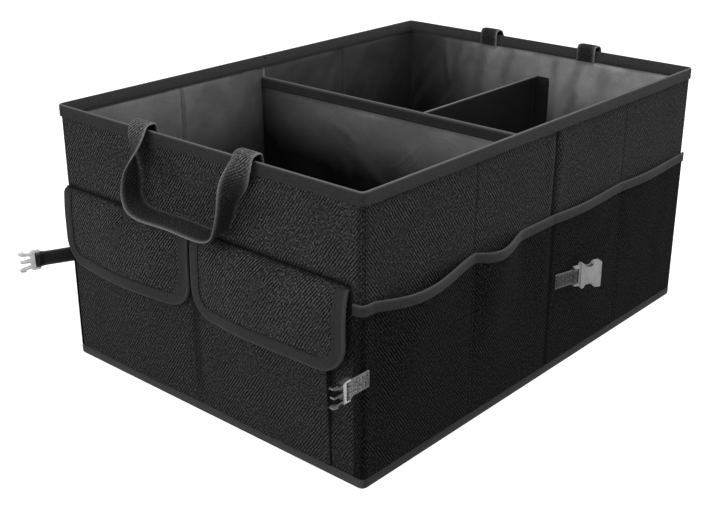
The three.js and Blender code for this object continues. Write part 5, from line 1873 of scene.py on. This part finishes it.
class ORGANIZER_OT_stage(bpy.types.Operator):
    """Pale floor, soft light and the camera"""

    bl_idname = "organizer.stage"
    bl_label = "Floor, light and camera"

    def execute(self, context):
        stage = context.scene.organizer_stage
        context.scene.view_settings.view_transform = "Standard"
        self.add_floor()
        self.add_world(stage.ambient)
        for name, (location, target, size) in LAMPS.items():
            self.add_lamp(f"{name}_lamp", location, target, size, getattr(stage, name))
        camera = bpy.data.objects.new("camera", bpy.data.cameras.new("camera"))
        camera.data.lens = stage.lens
        camera.data.sensor_width = 36.0
        camera.location = CAMERA_PLACE
        camera.rotation_euler = (CAMERA_DOWN, 0.0, CAMERA_TURN)
        context.scene.collection.objects.link(camera)
        context.scene.camera = camera
        return {"FINISHED"}

    def add_floor(self):
        mesh = bpy.data.meshes.new("floor")
        corners = [(x * FLOOR_REACH, y * FLOOR_REACH, FLOOR_LEVEL) for x, y in ((-1, -1), (1, -1), (1, 1), (-1, 1))]
        mesh.from_pydata(corners, [], [(0, 1, 2, 3)])
        floor = linked("floor", mesh)
        made, tree, shader = blank_material("pale_floor", (0.8, 0.8, 0.8), 0.9, 0.1)
        shader.inputs["Base Color"].default_value = (0.62, 0.62, 0.62, 1.0)
        glow = add_node(tree, "ShaderNodeEmission", {"Color": (1, 1, 1, 1), "Strength": 0.8})
        both = add_node(tree, "ShaderNodeAddShader", {0: shader.outputs[0], 1: glow.outputs[0]})
        split_by_ray(tree, "Material Output", shader, both)
        mesh.materials.append(made)

    def add_world(self, strength):
        world = bpy.data.worlds.new("studio")
        world.use_nodes = True
        tree = world.node_tree
        soft = tree.nodes["Background"]
        soft.inputs["Color"].default_value = (1, 1, 1, 1)
        soft.inputs["Strength"].default_value = strength
        white = add_node(tree, "ShaderNodeBackground", {"Color": (1, 1, 1, 1), "Strength": 1.0})
        split_by_ray(tree, "World Output", soft, white)
        bpy.context.scene.world = world

    def add_lamp(self, name, location, target, size, power):
        lamp = bpy.data.lights.new(name, "AREA")
        lamp.shape = "SQUARE"
        lamp.size = size
        lamp.energy = power
        obj = bpy.data.objects.new(name, lamp)
        obj.location = location
        obj.rotation_euler = (Vector(target) - Vector(location)).to_track_quat("-Z", "Y").to_euler()
        bpy.context.scene.collection.objects.link(obj)


OPERATORS = (
    ORGANIZER_OT_outer_walls,
    ORGANIZER_OT_lining,
    ORGANIZER_OT_boards,
    ORGANIZER_OT_tapes,
    ORGANIZER_OT_front_pockets,
    ORGANIZER_OT_flaps,
    ORGANIZER_OT_side_pockets,
    ORGANIZER_OT_handles,
    ORGANIZER_OT_straps,
    ORGANIZER_OT_buckles,
    ORGANIZER_OT_cross_divider,
    ORGANIZER_OT_long_divider,
    ORGANIZER_OT_stage,
)


class ORGANIZER_PT_panel(bpy.types.Panel):
    """Lists the pieces of the organizer"""

    bl_idname = "ORGANIZER_PT_panel"
    bl_label = "Trunk organizer"
    bl_space_type = "VIEW_3D"
    bl_region_type = "UI"
    bl_category = "Organizer"

    def draw(self, context):
        for operator in OPERATORS:
            self.layout.operator(operator.bl_idname)
        for group in ("organizer_sizes", "organizer_finishes", "organizer_stage"):
            box = self.layout.box()
            settings = getattr(context.scene, group)
            for name in settings.bl_rna.properties.keys():
                if name not in ("rna_type", "name"):
                    box.prop(settings, name)


CLASSES = (OrganizerSizes, OrganizerFinishes, OrganizerStage, *OPERATORS, ORGANIZER_PT_panel)
SETTINGS = {
    "organizer_sizes": OrganizerSizes,
    "organizer_finishes": OrganizerFinishes,
    "organizer_stage": OrganizerStage,
}


def register():
    for made in CLASSES:
        bpy.utils.register_class(made)
    for name, kind in SETTINGS.items():
        setattr(bpy.types.Scene, name, bpy.props.PointerProperty(type=kind))


def unregister():
    for name in SETTINGS:
        delattr(bpy.types.Scene, name)
    for made in reversed(CLASSES):
        bpy.utils.unregister_class(made)


def main():
    register()
    for operator in OPERATORS:
        group, name = operator.bl_idname.split(".")
        getattr(getattr(bpy.ops, group), name)()


if __name__ == "__main__":
    main()
